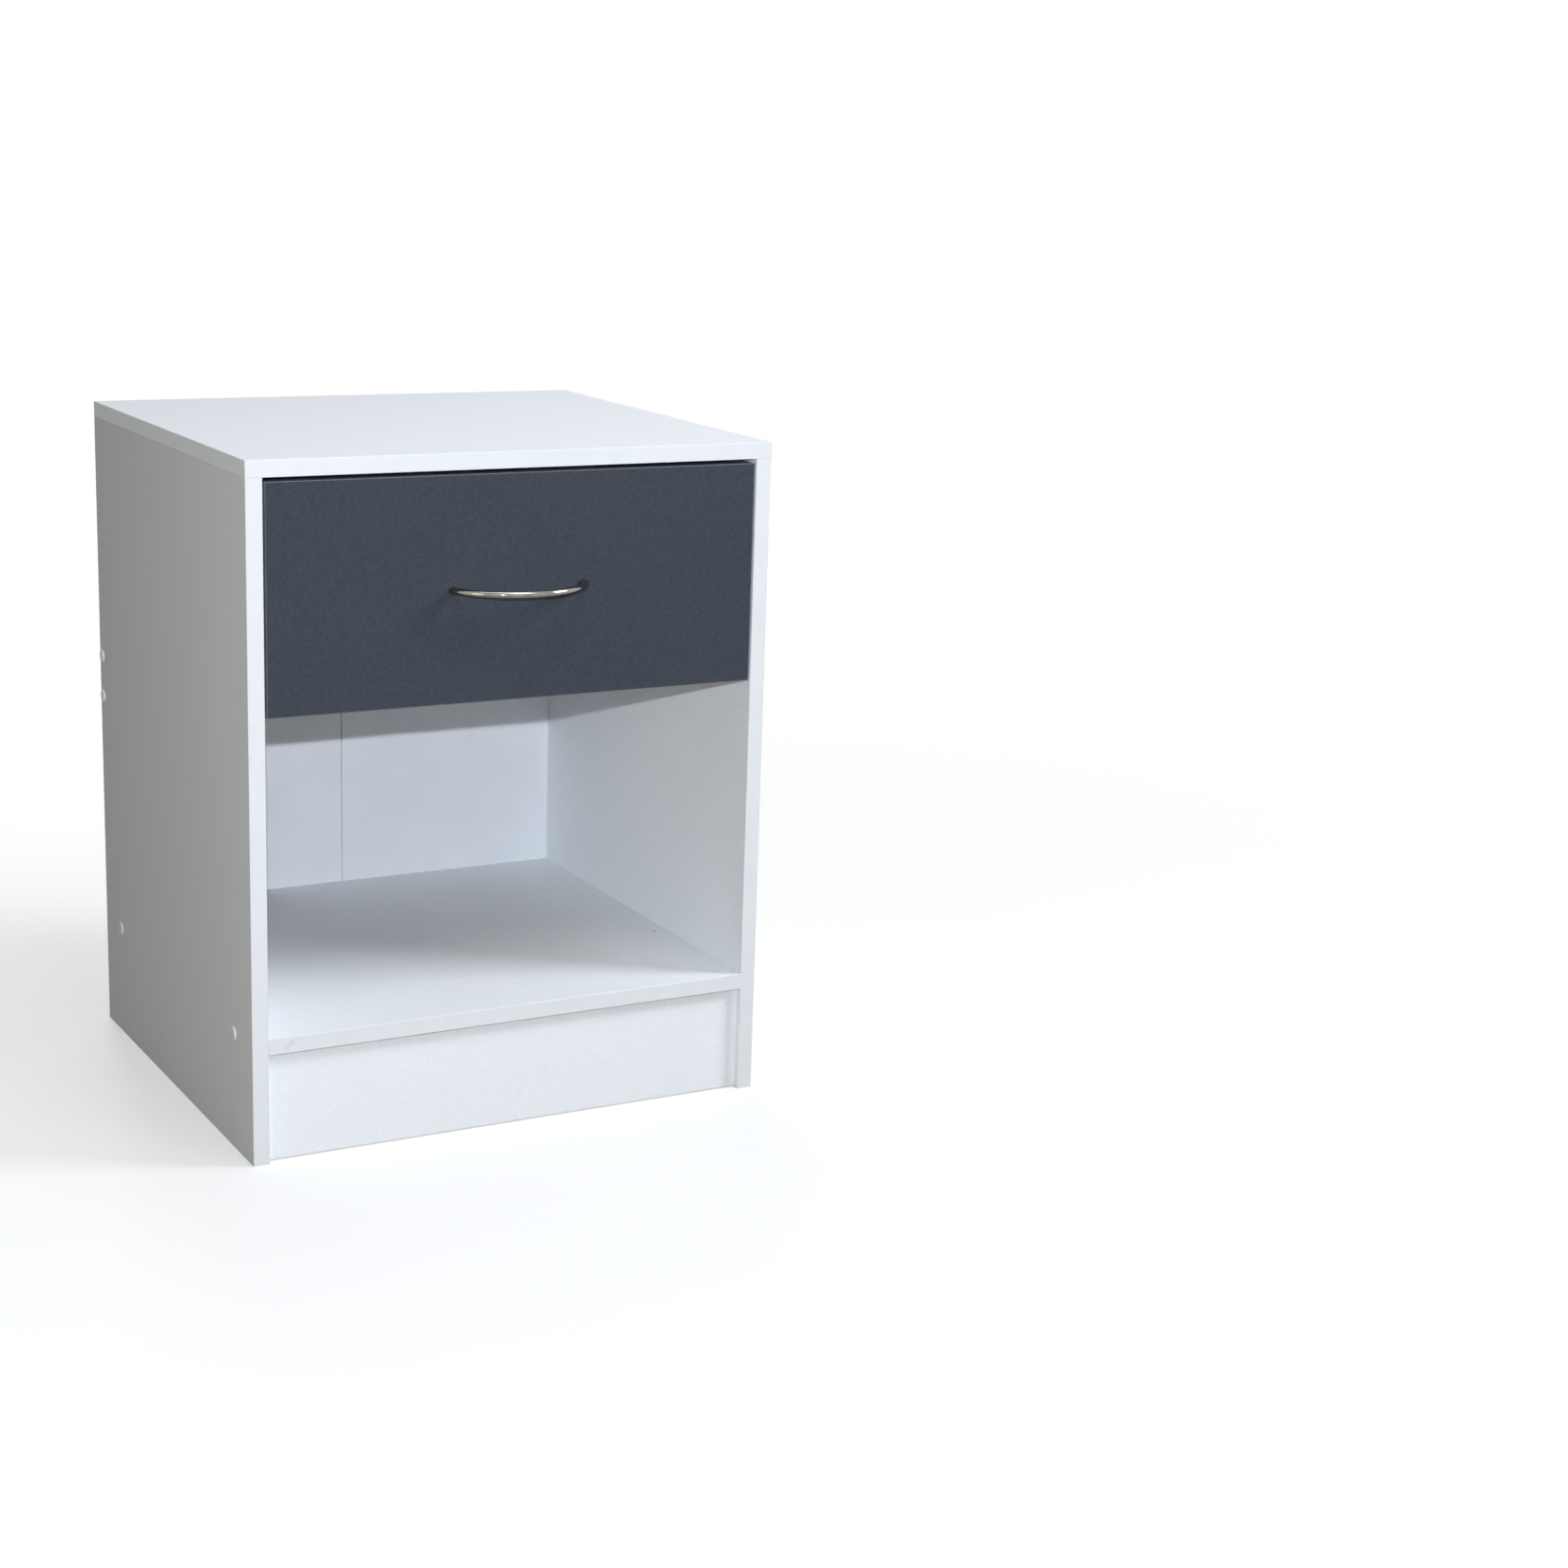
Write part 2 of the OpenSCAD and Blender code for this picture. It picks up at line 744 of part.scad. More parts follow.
// Band round all four edges of the drawer front
module drawer_front_edge_band() {
    color(melamine_grey) translate([0, front_y, front_z]) {
        translate([-front_w / 2, 0, front_h]) level_band(front_w, front_t);
        mirror([0, 0, 1]) translate([-front_w / 2, 0, 0]) level_band(front_w, front_t);
        both_sides() translate([-front_w / 2, 0, band_t])
            linear_extrude(front_h - 2 * band_t) band_section(front_t);
    }
}

module drawer_side_left() {
    color(melamine_white) difference() {
        translate([-box_x, box_y, box_z]) cube([box_t, box_l, box_h]);
        bottom_groove();
        drawer_cam_places() cam_pocket(box_t / 2);
        drawer_joint_places([cam_z]) cam_bolt_bore();
        drawer_joint_places(drawer_dowel_heights) dowel_bore();
        box_screw_places() countersunk_bore(small_screw_d, small_head_d, box_screw_l);
        seat_screw_places() bore(small_screw_d, 0, runner_screw_l + bore_spare);
    }
}

module drawer_side_right() {
    mirror([1, 0, 0]) drawer_side_left();
}

module drawer_back() {
    z = bottom_z + bottom_t;
    color(melamine_white) difference() {
        translate([-box_in_x, box_end_y - box_t, z]) cube([2 * box_in_x, box_t, box_z + box_h - z]);
        both_sides() box_screw_places() countersunk_bore(small_screw_d, small_head_d, box_screw_l);
        bottom_nail_places() nail_bore();
    }
}

module drawer_bottom() {
    x = box_in_x + groove_depth - groove_play;
    y = box_y - groove_depth + groove_play;
    color(hardboard_white) difference() {
        translate([-x, y, bottom_z]) cube([2 * x, box_end_y - y, bottom_t]);
        bottom_nail_places() nail_bore();
    }
}

module drawer_bottom_nails() {
    color(zinc) bottom_nail_places() nail();
}

module drawer_cams() {
    color(zinc) both_sides() drawer_cam_places() cam(box_t / 2);
}

module drawer_cam_bolts() {
    color(zinc) both_sides() drawer_joint_places([cam_z]) cam_bolt();
}

module drawer_dowels() {
    color(beech) both_sides() drawer_joint_places(drawer_dowel_heights) dowel();
}

module drawer_back_screws() {
    color(zinc) both_sides() box_screw_places() small_countersunk_screw(box_screw_l);
}

// Bow: an arc of round bar between the outer ends of two feet
module handle() {
    rise = handle_reach - handle_foot_l;
    r = (foot_x * foot_x + rise * rise) / (2 * rise);
    half_angle = asin(foot_x / r);
    color("silver") difference() {
        translate([0, front_y, handle_z]) {
            translate([0, r - handle_reach + handle_bar_d / 2, 0]) rotate([0, 0, 270 - half_angle])
                rotate_extrude(angle = 2 * half_angle) translate([r, 0]) circle(d = handle_bar_d);
            both_sides() translate([-foot_x, 0, 0]) rotate([90, 0, 0])
                cylinder(d = handle_foot_d, h = handle_foot_l);
        }
        both_sides() handle_screw_places()
            bore(handle_screw_d, 0, front_t + handle_screw_grip + bore_spare);
    }
}

module handle_screws() {
    color(zinc) both_sides() handle_screw_places()
        pan_screw(handle_screw_d, pan_head_d, pan_head_h, front_t + handle_screw_grip);
}

top_panel();
left_side_panel();
right_side_panel();
bottom_shelf();
plinth();
rear_rail();
top_edge_band();
side_edge_bands();
shelf_edge_band();
back_panel_left();
back_panel_right();
back_fold_tape();
back_nails();
carcass_screws();
screw_caps();
top_cams();
top_cam_bolts();
top_dowels();
plinth_dowels();
cabinet_runner_left();
cabinet_runner_right();
cabinet_runner_screws();
cabinet_roller_pins();
front_roller_left();
front_roller_right();
drawer_front();
drawer_front_edge_band();
drawer_side_left();
drawer_side_right();
drawer_back();
drawer_bottom();
drawer_bottom_nails();
drawer_cams();
drawer_cam_bolts();
drawer_dowels();
drawer_back_screws();
handle();
handle_screws();
drawer_runner_left();
drawer_runner_right();
drawer_runner_screws();
drawer_roller_pins();
rear_roller_left();
rear_roller_right();
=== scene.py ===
# A bedside cabinet with one drawer over an open compartment: its looks, made in cells
# around a fixed mechanical model. Every length is in metres.

# %% [markdown]
# ## The fixed model
# The cabinet's boards, runners, screws and rollers already exist as exact solids in one
# shared frame: X across the front, Y towards the back, Z up, floor at zero. They could be
# modelled again here, but then the two would drift apart. So the solids are loaded first,
# and every new piece takes its place from their boxes.

# %% Load the solids
from math import cos, pi, radians, sin

import bmesh
import bpy
from mathutils import Matrix, Vector


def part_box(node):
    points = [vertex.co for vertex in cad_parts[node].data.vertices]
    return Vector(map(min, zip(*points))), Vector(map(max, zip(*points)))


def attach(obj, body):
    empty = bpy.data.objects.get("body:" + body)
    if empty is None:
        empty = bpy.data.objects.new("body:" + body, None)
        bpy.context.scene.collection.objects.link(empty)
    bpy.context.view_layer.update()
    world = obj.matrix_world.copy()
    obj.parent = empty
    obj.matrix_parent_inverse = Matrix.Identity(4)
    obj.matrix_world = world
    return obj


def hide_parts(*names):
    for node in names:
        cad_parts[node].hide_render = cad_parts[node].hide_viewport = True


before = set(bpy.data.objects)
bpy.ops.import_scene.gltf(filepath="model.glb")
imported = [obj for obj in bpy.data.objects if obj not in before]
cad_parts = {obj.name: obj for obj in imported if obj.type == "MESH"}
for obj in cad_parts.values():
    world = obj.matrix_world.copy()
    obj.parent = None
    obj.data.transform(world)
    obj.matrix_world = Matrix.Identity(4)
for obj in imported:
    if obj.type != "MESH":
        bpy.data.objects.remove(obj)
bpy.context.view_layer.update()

# %% [markdown]
# ## Writing materials as sums
# A procedural finish is a small machine of nodes: patterns go in, and colour, roughness and
# bumps come out. Clicking or coding each Math node by hand hides the idea, so a wire from
# one node is wrapped in a class that understands plus, minus and times. `1 - mask` then
# reads like arithmetic and builds the nodes behind it.

# %% A wire that can be added and multiplied
class Wire:
    """One output of a node; sums and products of wires add Math nodes."""

    def __init__(self, recipe, socket):
        self.recipe = recipe
        self.socket = socket

    def maths(self, operation, *values):
        settings = {"operation": operation}
        return self.recipe.node("ShaderNodeMath", settings, dict(enumerate(values)))

    def __add__(self, other):
        return self.maths("ADD", self, other)

    def __sub__(self, other):
        return self.maths("SUBTRACT", self, other)

    def __rsub__(self, other):
        return self.maths("SUBTRACT", other, self)

    def __mul__(self, other):
        return self.maths("MULTIPLY", self, other)

    __radd__ = __add__
    __rmul__ = __mul__


print("wires understand:", [name for name in vars(Wire) if name.startswith("__r")])


# %% [markdown]
# ## One method for every other node
# A node needs three things: its type, its settings (set first, because they decide which
# sockets it has) and what goes into its sockets. Each node could be written out by itself,
# but that takes several lines for every node, and there are hundreds. One method takes the
# three, so no finish below repeats that code.

# %% A recipe of nodes
class Recipe:
    """The node tree of one material."""

    def __init__(self, tree):
        self.tree = tree

    def node(self, kind, settings=None, inputs=None, output=0):
        made = self.tree.nodes.new(kind)
        for name, value in (settings or {}).items():
            if name == "stops":
                self.set_stops(made.color_ramp.elements, value)
            else:
                setattr(made, name, value)
        for key, value in (inputs or {}).items():
            target = self.socket(made.inputs, key)
            if isinstance(value, Wire):
                self.tree.links.new(value.socket, target)
            else:
                target.default_value = value
        return Wire(self, self.socket(made.outputs, output))

    def socket(self, sockets, key):
        """A socket by its name, or by its place among those in use."""
        used = [s for s in sockets if s.enabled]
        return used[key] if isinstance(key, int) else next(s for s in used if s.name == key)

    def set_stops(self, elements, stops):
        while len(elements) < len(stops):
            elements.new(1.0)
        for element, (place, colour_there) in zip(elements, stops):
            element.position = place
            element.color = colour_there


print("a recipe builds nodes by type, settings and inputs")


# %% [markdown]
# ## Patterns by name
# Noise, cells, mixes and bumps turn up in every finish, and a reader should see what they
# are for and not how they are wired. Each gets a short method with named amounts. The
# patterns read Object coordinates, which stay with a piece when the drawer moves.
# Coordinates that start from the viewer would be as easy, but a pattern on them would slide
# over the piece.

# %% The patterns that this cabinet needs
class PatternRecipe(Recipe):
    """A recipe with short names for patterns, mixes and bumps."""

    def place(self):
        return self.node("ShaderNodeTexCoord", output="Object")

    def vector_maths(self, operation, first, second, output=0):
        inputs = {0: first, 1: second}
        return self.node("ShaderNodeVectorMath", {"operation": operation}, inputs, output)

    def stretched(self, vector, scale):
        return self.vector_maths("MULTIPLY", vector, scale)

    def noise(self, vector, per_metre=1.0, detail=2.0, roughness=0.5):
        inputs = {"Vector": vector, "Scale": per_metre, "Detail": detail, "Roughness": roughness}
        return self.node("ShaderNodeTexNoise", {"noise_dimensions": "3D"}, inputs)

    def chips(self, vector, per_metre):
        """A random value for each cell, as for the chips of a board."""
        inputs = {"Vector": vector, "Scale": per_metre}
        cell = self.node("ShaderNodeTexVoronoi", {"feature": "F1"}, inputs, output="Color")
        return self.node("ShaderNodeSeparateColor", {}, {0: cell})

    def smooth(self, value, low, high):
        """0 below low, 1 above high, and an S-curve between."""
        settings = {"interpolation_type": "SMOOTHSTEP"}
        return self.node("ShaderNodeMapRange", settings, {0: value, 1: low, 2: high})

    def mix(self, factor, first, second):
        inputs = {0: factor, 1: first, 2: second}
        return self.node("ShaderNodeMix", {"data_type": "RGBA"}, inputs)

    def ramp(self, value, stops):
        return self.node("ShaderNodeValToRGB", {"stops": stops}, {0: value}, output="Color")

    def bump(self, height, depth):
        inputs = {"Strength": 1.0, "Distance": depth, "Height": height}
        return self.node("ShaderNodeBump", {}, inputs)


def own_methods(kind):
    return [name for name in vars(kind) if not name.startswith("__")]


print("patterns:", own_methods(PatternRecipe))


# %% [markdown]
# ## Masks and marks
# A mask is a value from 0 to 1 that says where a finish changes: on faces that look one way,
# round a small mark, or for one kind of ray. It could be painted by hand, but then it would
# need a picture and a layout of the surface. Worked out from the surface's direction or from
# a distance, it needs neither and stays sharp from close by.

# %% The masks that this cabinet needs
FACING_FROM, FACING_TO = 0.55, 0.8
MARK_CORE = 0.5
MARK_COLOUR = (0.10, 0.09, 0.09, 1.0)


class FinishRecipe(PatternRecipe):
    """A recipe with masks and marks on top of the patterns."""

    def facing(self, direction):
        """1 where the surface faces along the direction's parts, 0 elsewhere."""
        normal = self.node("ShaderNodeTexCoord", output="Normal")
        along = self.vector_maths("DOT_PRODUCT", normal, direction, output="Value")
        return self.smooth(along, FACING_FROM, FACING_TO)

    def near(self, vector, centre, reach):
        """1 at a point, fading to 0 at a distance of reach."""
        away = self.vector_maths("DISTANCE", vector, centre, output="Value")
        return 1.0 - self.smooth(away, reach * MARK_CORE, reach)

    def marked(self, skin, vector, marks):
        """The skin with small soft marks, each a place, a reach and a strength."""
        for centre, reach, strength in marks:
            skin = self.mix(self.near(vector, centre, reach) * strength, skin, MARK_COLOUR)
        return skin

    def ray(self, kind):
        """1 for the rays of one kind, such as those that leave the camera."""
        return self.node("ShaderNodeLightPath", output=kind)

    def either(self, first, second):
        return self.node("ShaderNodeMath", {"operation": "MAXIMUM"}, {0: first, 1: second})


print("masks:", own_methods(FinishRecipe))

# %% [markdown]
# ## Colours and finishes by name
# Paint charts give colours as they look on a screen, while the renderer adds light up, so
# each colour is turned from one scale to the other once. Every finish starts from the same
# Principled shader: what is the same all over is set on the shader's own sockets, and only
# what changes over the surface is wired in.

# %% Colour and finish helpers
def colour(red, green, blue):
    """Screen colour from 0 to 255, as the renderer's linear colour."""
    def linear(value):
        share = value / 255
        return share / 12.92 if share <= 0.04045 else ((share + 0.055) / 1.055) ** 2.4
    return (linear(red), linear(green), linear(blue), 1.0)


def new_finish(name, **constants):
    """A material and its recipe, with the constants on the shader's sockets."""
    material = bpy.data.materials.new(name)
    material.use_nodes = True
    shader = material.node_tree.nodes["Principled BSDF"]
    for socket, value in constants.items():
        shader.inputs[socket.replace("_", " ")].default_value = value
    return material, FinishRecipe(material.node_tree)


def wire_up(material, **wires):
    """Links wires to the shader's sockets, named with underscores for spaces."""
    shader = material.node_tree.nodes["Principled BSDF"]
    for socket, wire in wires.items():
        material.node_tree.links.new(wire.socket, shader.inputs[socket.replace("_", " ")])
    return material


def report(what, finishes):
    print(what, [finish.name for finish in finishes])


print("white at 231,236,241 is", [round(v, 3) for v in colour(231, 236, 241)])

# %% [markdown]
# ## Melamine-faced chipboard
# The cabinet's boards are pressed wood chips with a printed paper skin on both faces. The
# skin is matt with a very fine stipple, which breaks up highlights and makes the white look
# faintly mottled. The sawn edges that no band covers show the chips. One painted picture
# could hold both, but it would stretch on the edges. Here the surface's own direction
# decides: only edges that face the named way, such as the rear of a side, show chips. One
# tiny dark fleck lies on the shelf, near its right end.

# %% The board finish
SKIN_ROUGHNESS, CHIP_ROUGHNESS = 0.8, 0.9
SKIN_RELIEF, CHIP_DEPTH = 0.05, 0.0003
CHIP_STOPS = [
    (0.0, colour(122, 92, 60)),
    (0.35, colour(166, 130, 88)),
    (0.7, colour(193, 160, 116)),
    (1.0, colour(214, 187, 146)),
]


def board_finish(name, light, dark, sawn, shine, marks=()):
    """Skin between two near colours, and chips on the edges that face the sawn way."""
    material, make = new_finish(name, Specular_IOR_Level=shine)
    here = make.place()
    mottle = make.smooth(make.noise(here, per_metre=640.0, detail=1.0), low=0.36, high=0.64)
    cloud = make.smooth(make.noise(here, per_metre=14.0), low=0.3, high=0.7)
    stipple = make.noise(here, per_metre=1500.0, detail=1.0)
    skin = make.marked(make.mix(mottle * 0.85 + cloud * 0.15, dark, light), here, marks)
    chip = make.chips(here, per_metre=900.0)
    grit = make.noise(here, per_metre=700.0, detail=3.0, roughness=0.7)
    wood = make.ramp(chip * 0.6 + grit * 0.4, CHIP_STOPS)
    bare = make.facing(sawn)
    relief = (1.0 - bare) * (mottle * 0.4 + stipple * 0.6) * SKIN_RELIEF + bare * chip
    return wire_up(
        material,
        Base_Color=make.mix(bare, skin, wood),
        Roughness=(1.0 - bare) * (mottle * 0.06 + SKIN_ROUGHNESS) + bare * CHIP_ROUGHNESS,
        Normal=make.bump(relief, CHIP_DEPTH),
    )


print("colours of chip under the skin:", len(CHIP_STOPS))

# %% The boards of the cabinet
WHITE = colour(240, 244, 248), colour(234, 239, 243)
ANTHRACITE = colour(62, 68, 77), colour(54, 60, 69)
REAR, BELOW, REAR_AND_BELOW = (0.0, 1.0, 0.0), (0.0, 0.0, -1.0), (0.0, 1.0, -1.0)
FLECKS = [((0.177, -0.0375, 0.093), 0.0018, 0.6)]

white_board = board_finish("white_board", *WHITE, REAR, shine=0.1)
shelf_board = board_finish("white_shelf_board", *WHITE, REAR, shine=0.5, marks=FLECKS)
side_board = board_finish("white_side_board", *WHITE, REAR_AND_BELOW, shine=0.1)
cross_board = board_finish("white_cross_board", *WHITE, BELOW, shine=0.1)
grey_board = board_finish("anthracite_board", *ANTHRACITE, BELOW, shine=0.2)
report("boards:", [white_board, shelf_board, side_board, cross_board, grey_board])

# %% [markdown]
# ## Edge bands
# A band is a half-millimetre strip of plastic, glued to a sawn edge and trimmed flush. It is
# a touch smoother than the skin beside it, and the trimming knife leaves faint lines along
# it. A noise that is squeezed across the strip and stretched along it gives those lines, so
# each way that a band runs has its own squeeze. The shelf's band also has two faint scuffs
# near its left end, mixed in as soft marks.

# %% The band finish
BAND_ROUGHNESS, LINE_ROUGHNESS, BAND_RELIEF = 0.4, 0.08, 0.000015


def band_finish(name, light, dark, squeeze, marks=()):
    """Plastic between two near colours, with lines along the way of the small squeeze."""
    material, make = new_finish(name, Specular_IOR_Level=0.35)
    here = make.place()
    tone = make.smooth(make.noise(here, per_metre=60.0), low=0.35, high=0.65)
    lines = make.noise(make.stretched(here, squeeze))
    speck = make.noise(here, per_metre=1400.0, detail=1.0)
    return wire_up(
        material,
        Base_Color=make.marked(make.mix(tone, dark, light), here, marks),
        Roughness=lines * LINE_ROUGHNESS + BAND_ROUGHNESS,
        Normal=make.bump(lines * 0.6 + speck * 0.4, BAND_RELIEF),
    )


print("a band's roughness:", BAND_ROUGHNESS, "and the skin's:", SKIN_ROUGHNESS)

# %% The bands of the cabinet
ALONG, ACROSS = 25.0, 1100.0
WHITE_BAND = colour(228, 232, 236), colour(226, 230, 234)
# The grey band's colours are painted lighter than the anthracite face: a painted highlight for
# the light that the drawer front's edges catch.
GREY_BAND_PAINTED_HIGHLIGHT = colour(98, 104, 116), colour(90, 96, 108)
SCUFFS = [
    ((-0.1745, -0.1633, 0.0850), 0.0030, 0.10),
    ((-0.1715, -0.1633, 0.0885), 0.0030, 0.10),
]

level_band = band_finish("white_edge_level", *WHITE_BAND, (ALONG, ALONG, ACROSS), SCUFFS)
upright_band = band_finish("white_edge_upright", *WHITE_BAND, (ACROSS, ACROSS, ALONG))
grey_band_painted_highlight = band_finish("anthracite_edge_painted_highlight", *GREY_BAND_PAINTED_HIGHLIGHT, (ALONG, ACROSS, ALONG))
report("bands:", [level_band, upright_band, grey_band_painted_highlight])

# %% [markdown]
# ## Hardboard
# The back panel and the drawer's bottom are thin hardboard: lacquered white on the side that
# shows, with the soft ripple of a sprayed coat, and bare brown fibre on the other side. Two
# materials on one panel would need its faces sorted; the face's direction picks the side in
# one material instead.

# %% The hardboard finish
FIBRE_ROUGHNESS, LACQUER_SMOOTHER_BY = 0.88, 0.47
STRAND_SQUEEZE = (900.0, 900.0, 380.0)
RIPPLE_RELIEF, STRAND_RELIEF, HARDBOARD_DEPTH = 0.24, 0.3, 0.0001
LACQUER = colour(236, 240, 245), colour(241, 245, 250)
FIBRE_STOPS = [
    (0.0, colour(118, 87, 58)),
    (0.45, colour(142, 107, 74)),
    (0.75, colour(156, 121, 86)),
    (1.0, colour(172, 139, 103)),
]


def hardboard_finish(name, brown_side):
    """White lacquer, and brown fibre on the faces that look towards the brown side."""
    material, make = new_finish(name, Specular_IOR_Level=0.35)
    here = make.place()
    ripple = make.noise(here, per_metre=260.0, roughness=0.6)
    cloud = make.smooth(make.noise(here, per_metre=18.0), low=0.3, high=0.7)
    lacquer = make.mix(cloud, *LACQUER)
    strands = make.noise(make.stretched(here, STRAND_SQUEEZE), detail=4.0, roughness=0.7)
    fibre = make.ramp(make.smooth(strands, low=0.25, high=0.75), FIBRE_STOPS)
    shown = 1.0 - make.facing(brown_side)
    relief = shown * ripple * RIPPLE_RELIEF + (1.0 - shown) * strands * STRAND_RELIEF
    return wire_up(
        material,
        Base_Color=make.mix(shown, fibre, lacquer),
        Roughness=shown * (ripple * 0.1 - LACQUER_SMOOTHER_BY) + FIBRE_ROUGHNESS,
        Normal=make.bump(relief, HARDBOARD_DEPTH),
    )


back_board = hardboard_finish("lacquered_back_panel", REAR)
bottom_board = hardboard_finish("lacquered_drawer_bottom", BELOW)
report("hardboards:", [back_board, bottom_board])

# %% [markdown]
# ## Metals
# Three metals are used. Screws and nails are steel with a thin bright zinc plating, which
# clouds in patches. Cams are cast zinc: duller and grainy from the mould. The handle is
# chromed, nearly a mirror, and what makes it look real is the faint haze that fingers leave,
# so its roughness drifts a little from place to place. One function with named amounts makes
# all three, because they differ only in degree.

# %% The metal finishes
def metal_finish(name, light, dark, polish, haze, grain, depth):
    """Metal between two colours; roughness runs from polish to polish + haze."""
    material, make = new_finish(name, Metallic=1.0)
    here = make.place()
    cloud = make.noise(here, per_metre=130.0, detail=3.0, roughness=0.6)
    patch = make.smooth(cloud, low=0.3, high=0.7)
    fine = make.noise(here, per_metre=grain)
    return wire_up(
        material,
        Base_Color=make.mix(patch, dark, light),
        Roughness=patch * haze + fine * 0.04 + polish,
        Normal=make.bump(fine, depth),
    )


plated_steel = metal_finish(
    "zinc_plated_steel", colour(214, 217, 222), colour(188, 191, 194),
    polish=0.24, haze=0.16, grain=1600.0, depth=0.00002,
)
cast_metal = metal_finish(
    "cast_zinc_alloy", colour(178, 180, 182), colour(150, 152, 155),
    polish=0.42, haze=0.18, grain=1200.0, depth=0.00008,
)
# The handle's colours are kept darker than bright chrome: a painted dim reflection, as of a
# darker room than the white surroundings that the handle mirrors.
chromed = metal_finish(
    "polished_chrome_painted_dim_reflection", colour(160, 156, 150), colour(142, 138, 132),
    polish=0.05, haze=0.05, grain=500.0, depth=0.000004,
)
report("metals:", [plated_steel, cast_metal, chromed])

# %% [markdown]
# ## Painted steel
# The runners are folded steel under white epoxy paint with a faint orange-peel ripple, and
# rolling has rubbed fine grey lines into it along the drawer's way. The lines could be cut
# into the mesh, but they have no depth to speak of, so a noise stretched along Y darkens and
# dulls the paint, and only on faces that look up, where the rollers run.

# %% The painted steel finish
PAINT_ROUGHNESS, PEEL_ROUGHNESS, RUB_ROUGHNESS = 0.28, 0.1, 0.2
PAINT_COAT, RUB_STRENGTH, PEEL_DEPTH = 0.3, 0.5, 0.00006
RUB_SQUEEZE, UPWARDS = (900.0, 12.0, 900.0), (0.0, 0.0, 1.0)
PAINT, RUBBED_GREY = (colour(228, 229, 226), colour(238, 239, 237)), colour(150, 152, 153)


def painted_finish():
    """White paint with grey lines along the drawer's way on faces that look up."""
    material, make = new_finish("white_painted_steel", Coat_Roughness=0.2)
    here = make.place()
    peel = make.noise(here, per_metre=650.0)
    rubbed = make.noise(make.stretched(here, RUB_SQUEEZE), detail=3.0, roughness=0.6)
    worn = make.smooth(rubbed, low=0.6, high=0.75) * make.facing(UPWARDS)
    white = make.mix(make.noise(here, per_metre=40.0), *PAINT)
    return wire_up(
        material,
        Base_Color=make.mix(worn * RUB_STRENGTH, white, RUBBED_GREY),
        Roughness=peel * PEEL_ROUGHNESS + worn * RUB_ROUGHNESS + PAINT_ROUGHNESS,
        Coat_Weight=(1.0 - worn) * PAINT_COAT,
        Normal=make.bump(peel, PEEL_DEPTH),
    )


painted_steel = painted_finish()
report("painted:", [painted_steel])

# %% [markdown]
# ## Moulded plastics
# The rollers are milky nylon and the screw caps are hard white plastic. Both are moulded, so
# the melt's flow leaves soft streaks in the colour and the mould's surface a fine sand. A
# plain colour would look like paint; two near colours mixed by a stretched noise don't.

# %% The moulded plastic finishes
FLOW_SQUEEZE, FLOW_ROUGHNESS, SAND_DEPTH = (220.0, 90.0, 90.0), 0.15, 0.00003


def moulded_finish(name, light, dark, gloss):
    """Plastic between two near colours; a small gloss value is a shiny one."""
    material, make = new_finish(name)
    here = make.place()
    flow = make.noise(make.stretched(here, FLOW_SQUEEZE), detail=3.0, roughness=0.6)
    sand = make.noise(here, per_metre=1800.0, detail=1.0)
    return wire_up(
        material,
        Base_Color=make.mix(make.smooth(flow, low=0.3, high=0.7), dark, light),
        Roughness=flow * FLOW_ROUGHNESS + gloss,
        Normal=make.bump(sand, SAND_DEPTH),
    )


nylon = moulded_finish("milky_nylon", colour(240, 238, 230), colour(226, 223, 213), gloss=0.34)
cap_plastic = moulded_finish(
    "white_cap_plastic", colour(240, 242, 245), colour(228, 231, 234), gloss=0.3)
report("plastics:", [nylon, cap_plastic])

# %% [markdown]
# ## Paper tape
# The seam between the back's two leaves is closed from behind with crinkled paper tape. Its
# creases run across it and its fibres every way. The creases could be modelled, but they are
# finer than a face should be, and one noise alone would look like plaster. So two noises
# share the bump: one squeezed along the tape's length, one even.

# %% The tape finish
CREPE_SQUEEZE, CREPE_DEPTH = (260.0, 260.0, 1100.0), 0.00012
TAPE_ROUGHNESS, TAPE_FIBRE_ROUGHNESS = 0.78, 0.1


def tape_finish():
    """Crinkled paper: creases across the tape, fibres every way."""
    material, make = new_finish("white_paper_tape")
    here = make.place()
    crepe = make.noise(make.stretched(here, CREPE_SQUEEZE), detail=3.0, roughness=0.6)
    fibre = make.noise(here, per_metre=900.0, detail=3.0, roughness=0.7)
    return wire_up(
        material,
        Base_Color=make.mix(fibre, colour(216, 211, 198), colour(236, 233, 224)),
        Roughness=fibre * TAPE_FIBRE_ROUGHNESS + TAPE_ROUGHNESS,
        Normal=make.bump(crepe * 0.7 + fibre * 0.3, CREPE_DEPTH),
    )


paper_tape = tape_finish()
report("tape:", [paper_tape])

# %% [markdown]
# ## Beech
# The dowels are turned beech, with grain and dark pores along their length. Wood is often
# made with a wave texture's rings, but a dowel six millimetres thick shows only straight
# fibre. So one noise is drawn out along the grain, and a finer one on the same stretch gives
# the pores. Dowels lie along three axes, and each axis has its own stretch.

# %% The beech finishes
GRAIN_ALONG, GRAIN_ACROSS, PORES_PER_GRAIN = 60.0, 700.0, 3.5
WOOD_ROUGHNESS, GRAIN_ROUGHNESS = 0.55, 0.2
PORE_STRENGTH, PORE_DEPTH = 0.5, 0.0001
BEECH, PORE_BROWN = (colour(190, 146, 103), colour(219, 181, 139)), colour(140, 98, 62)


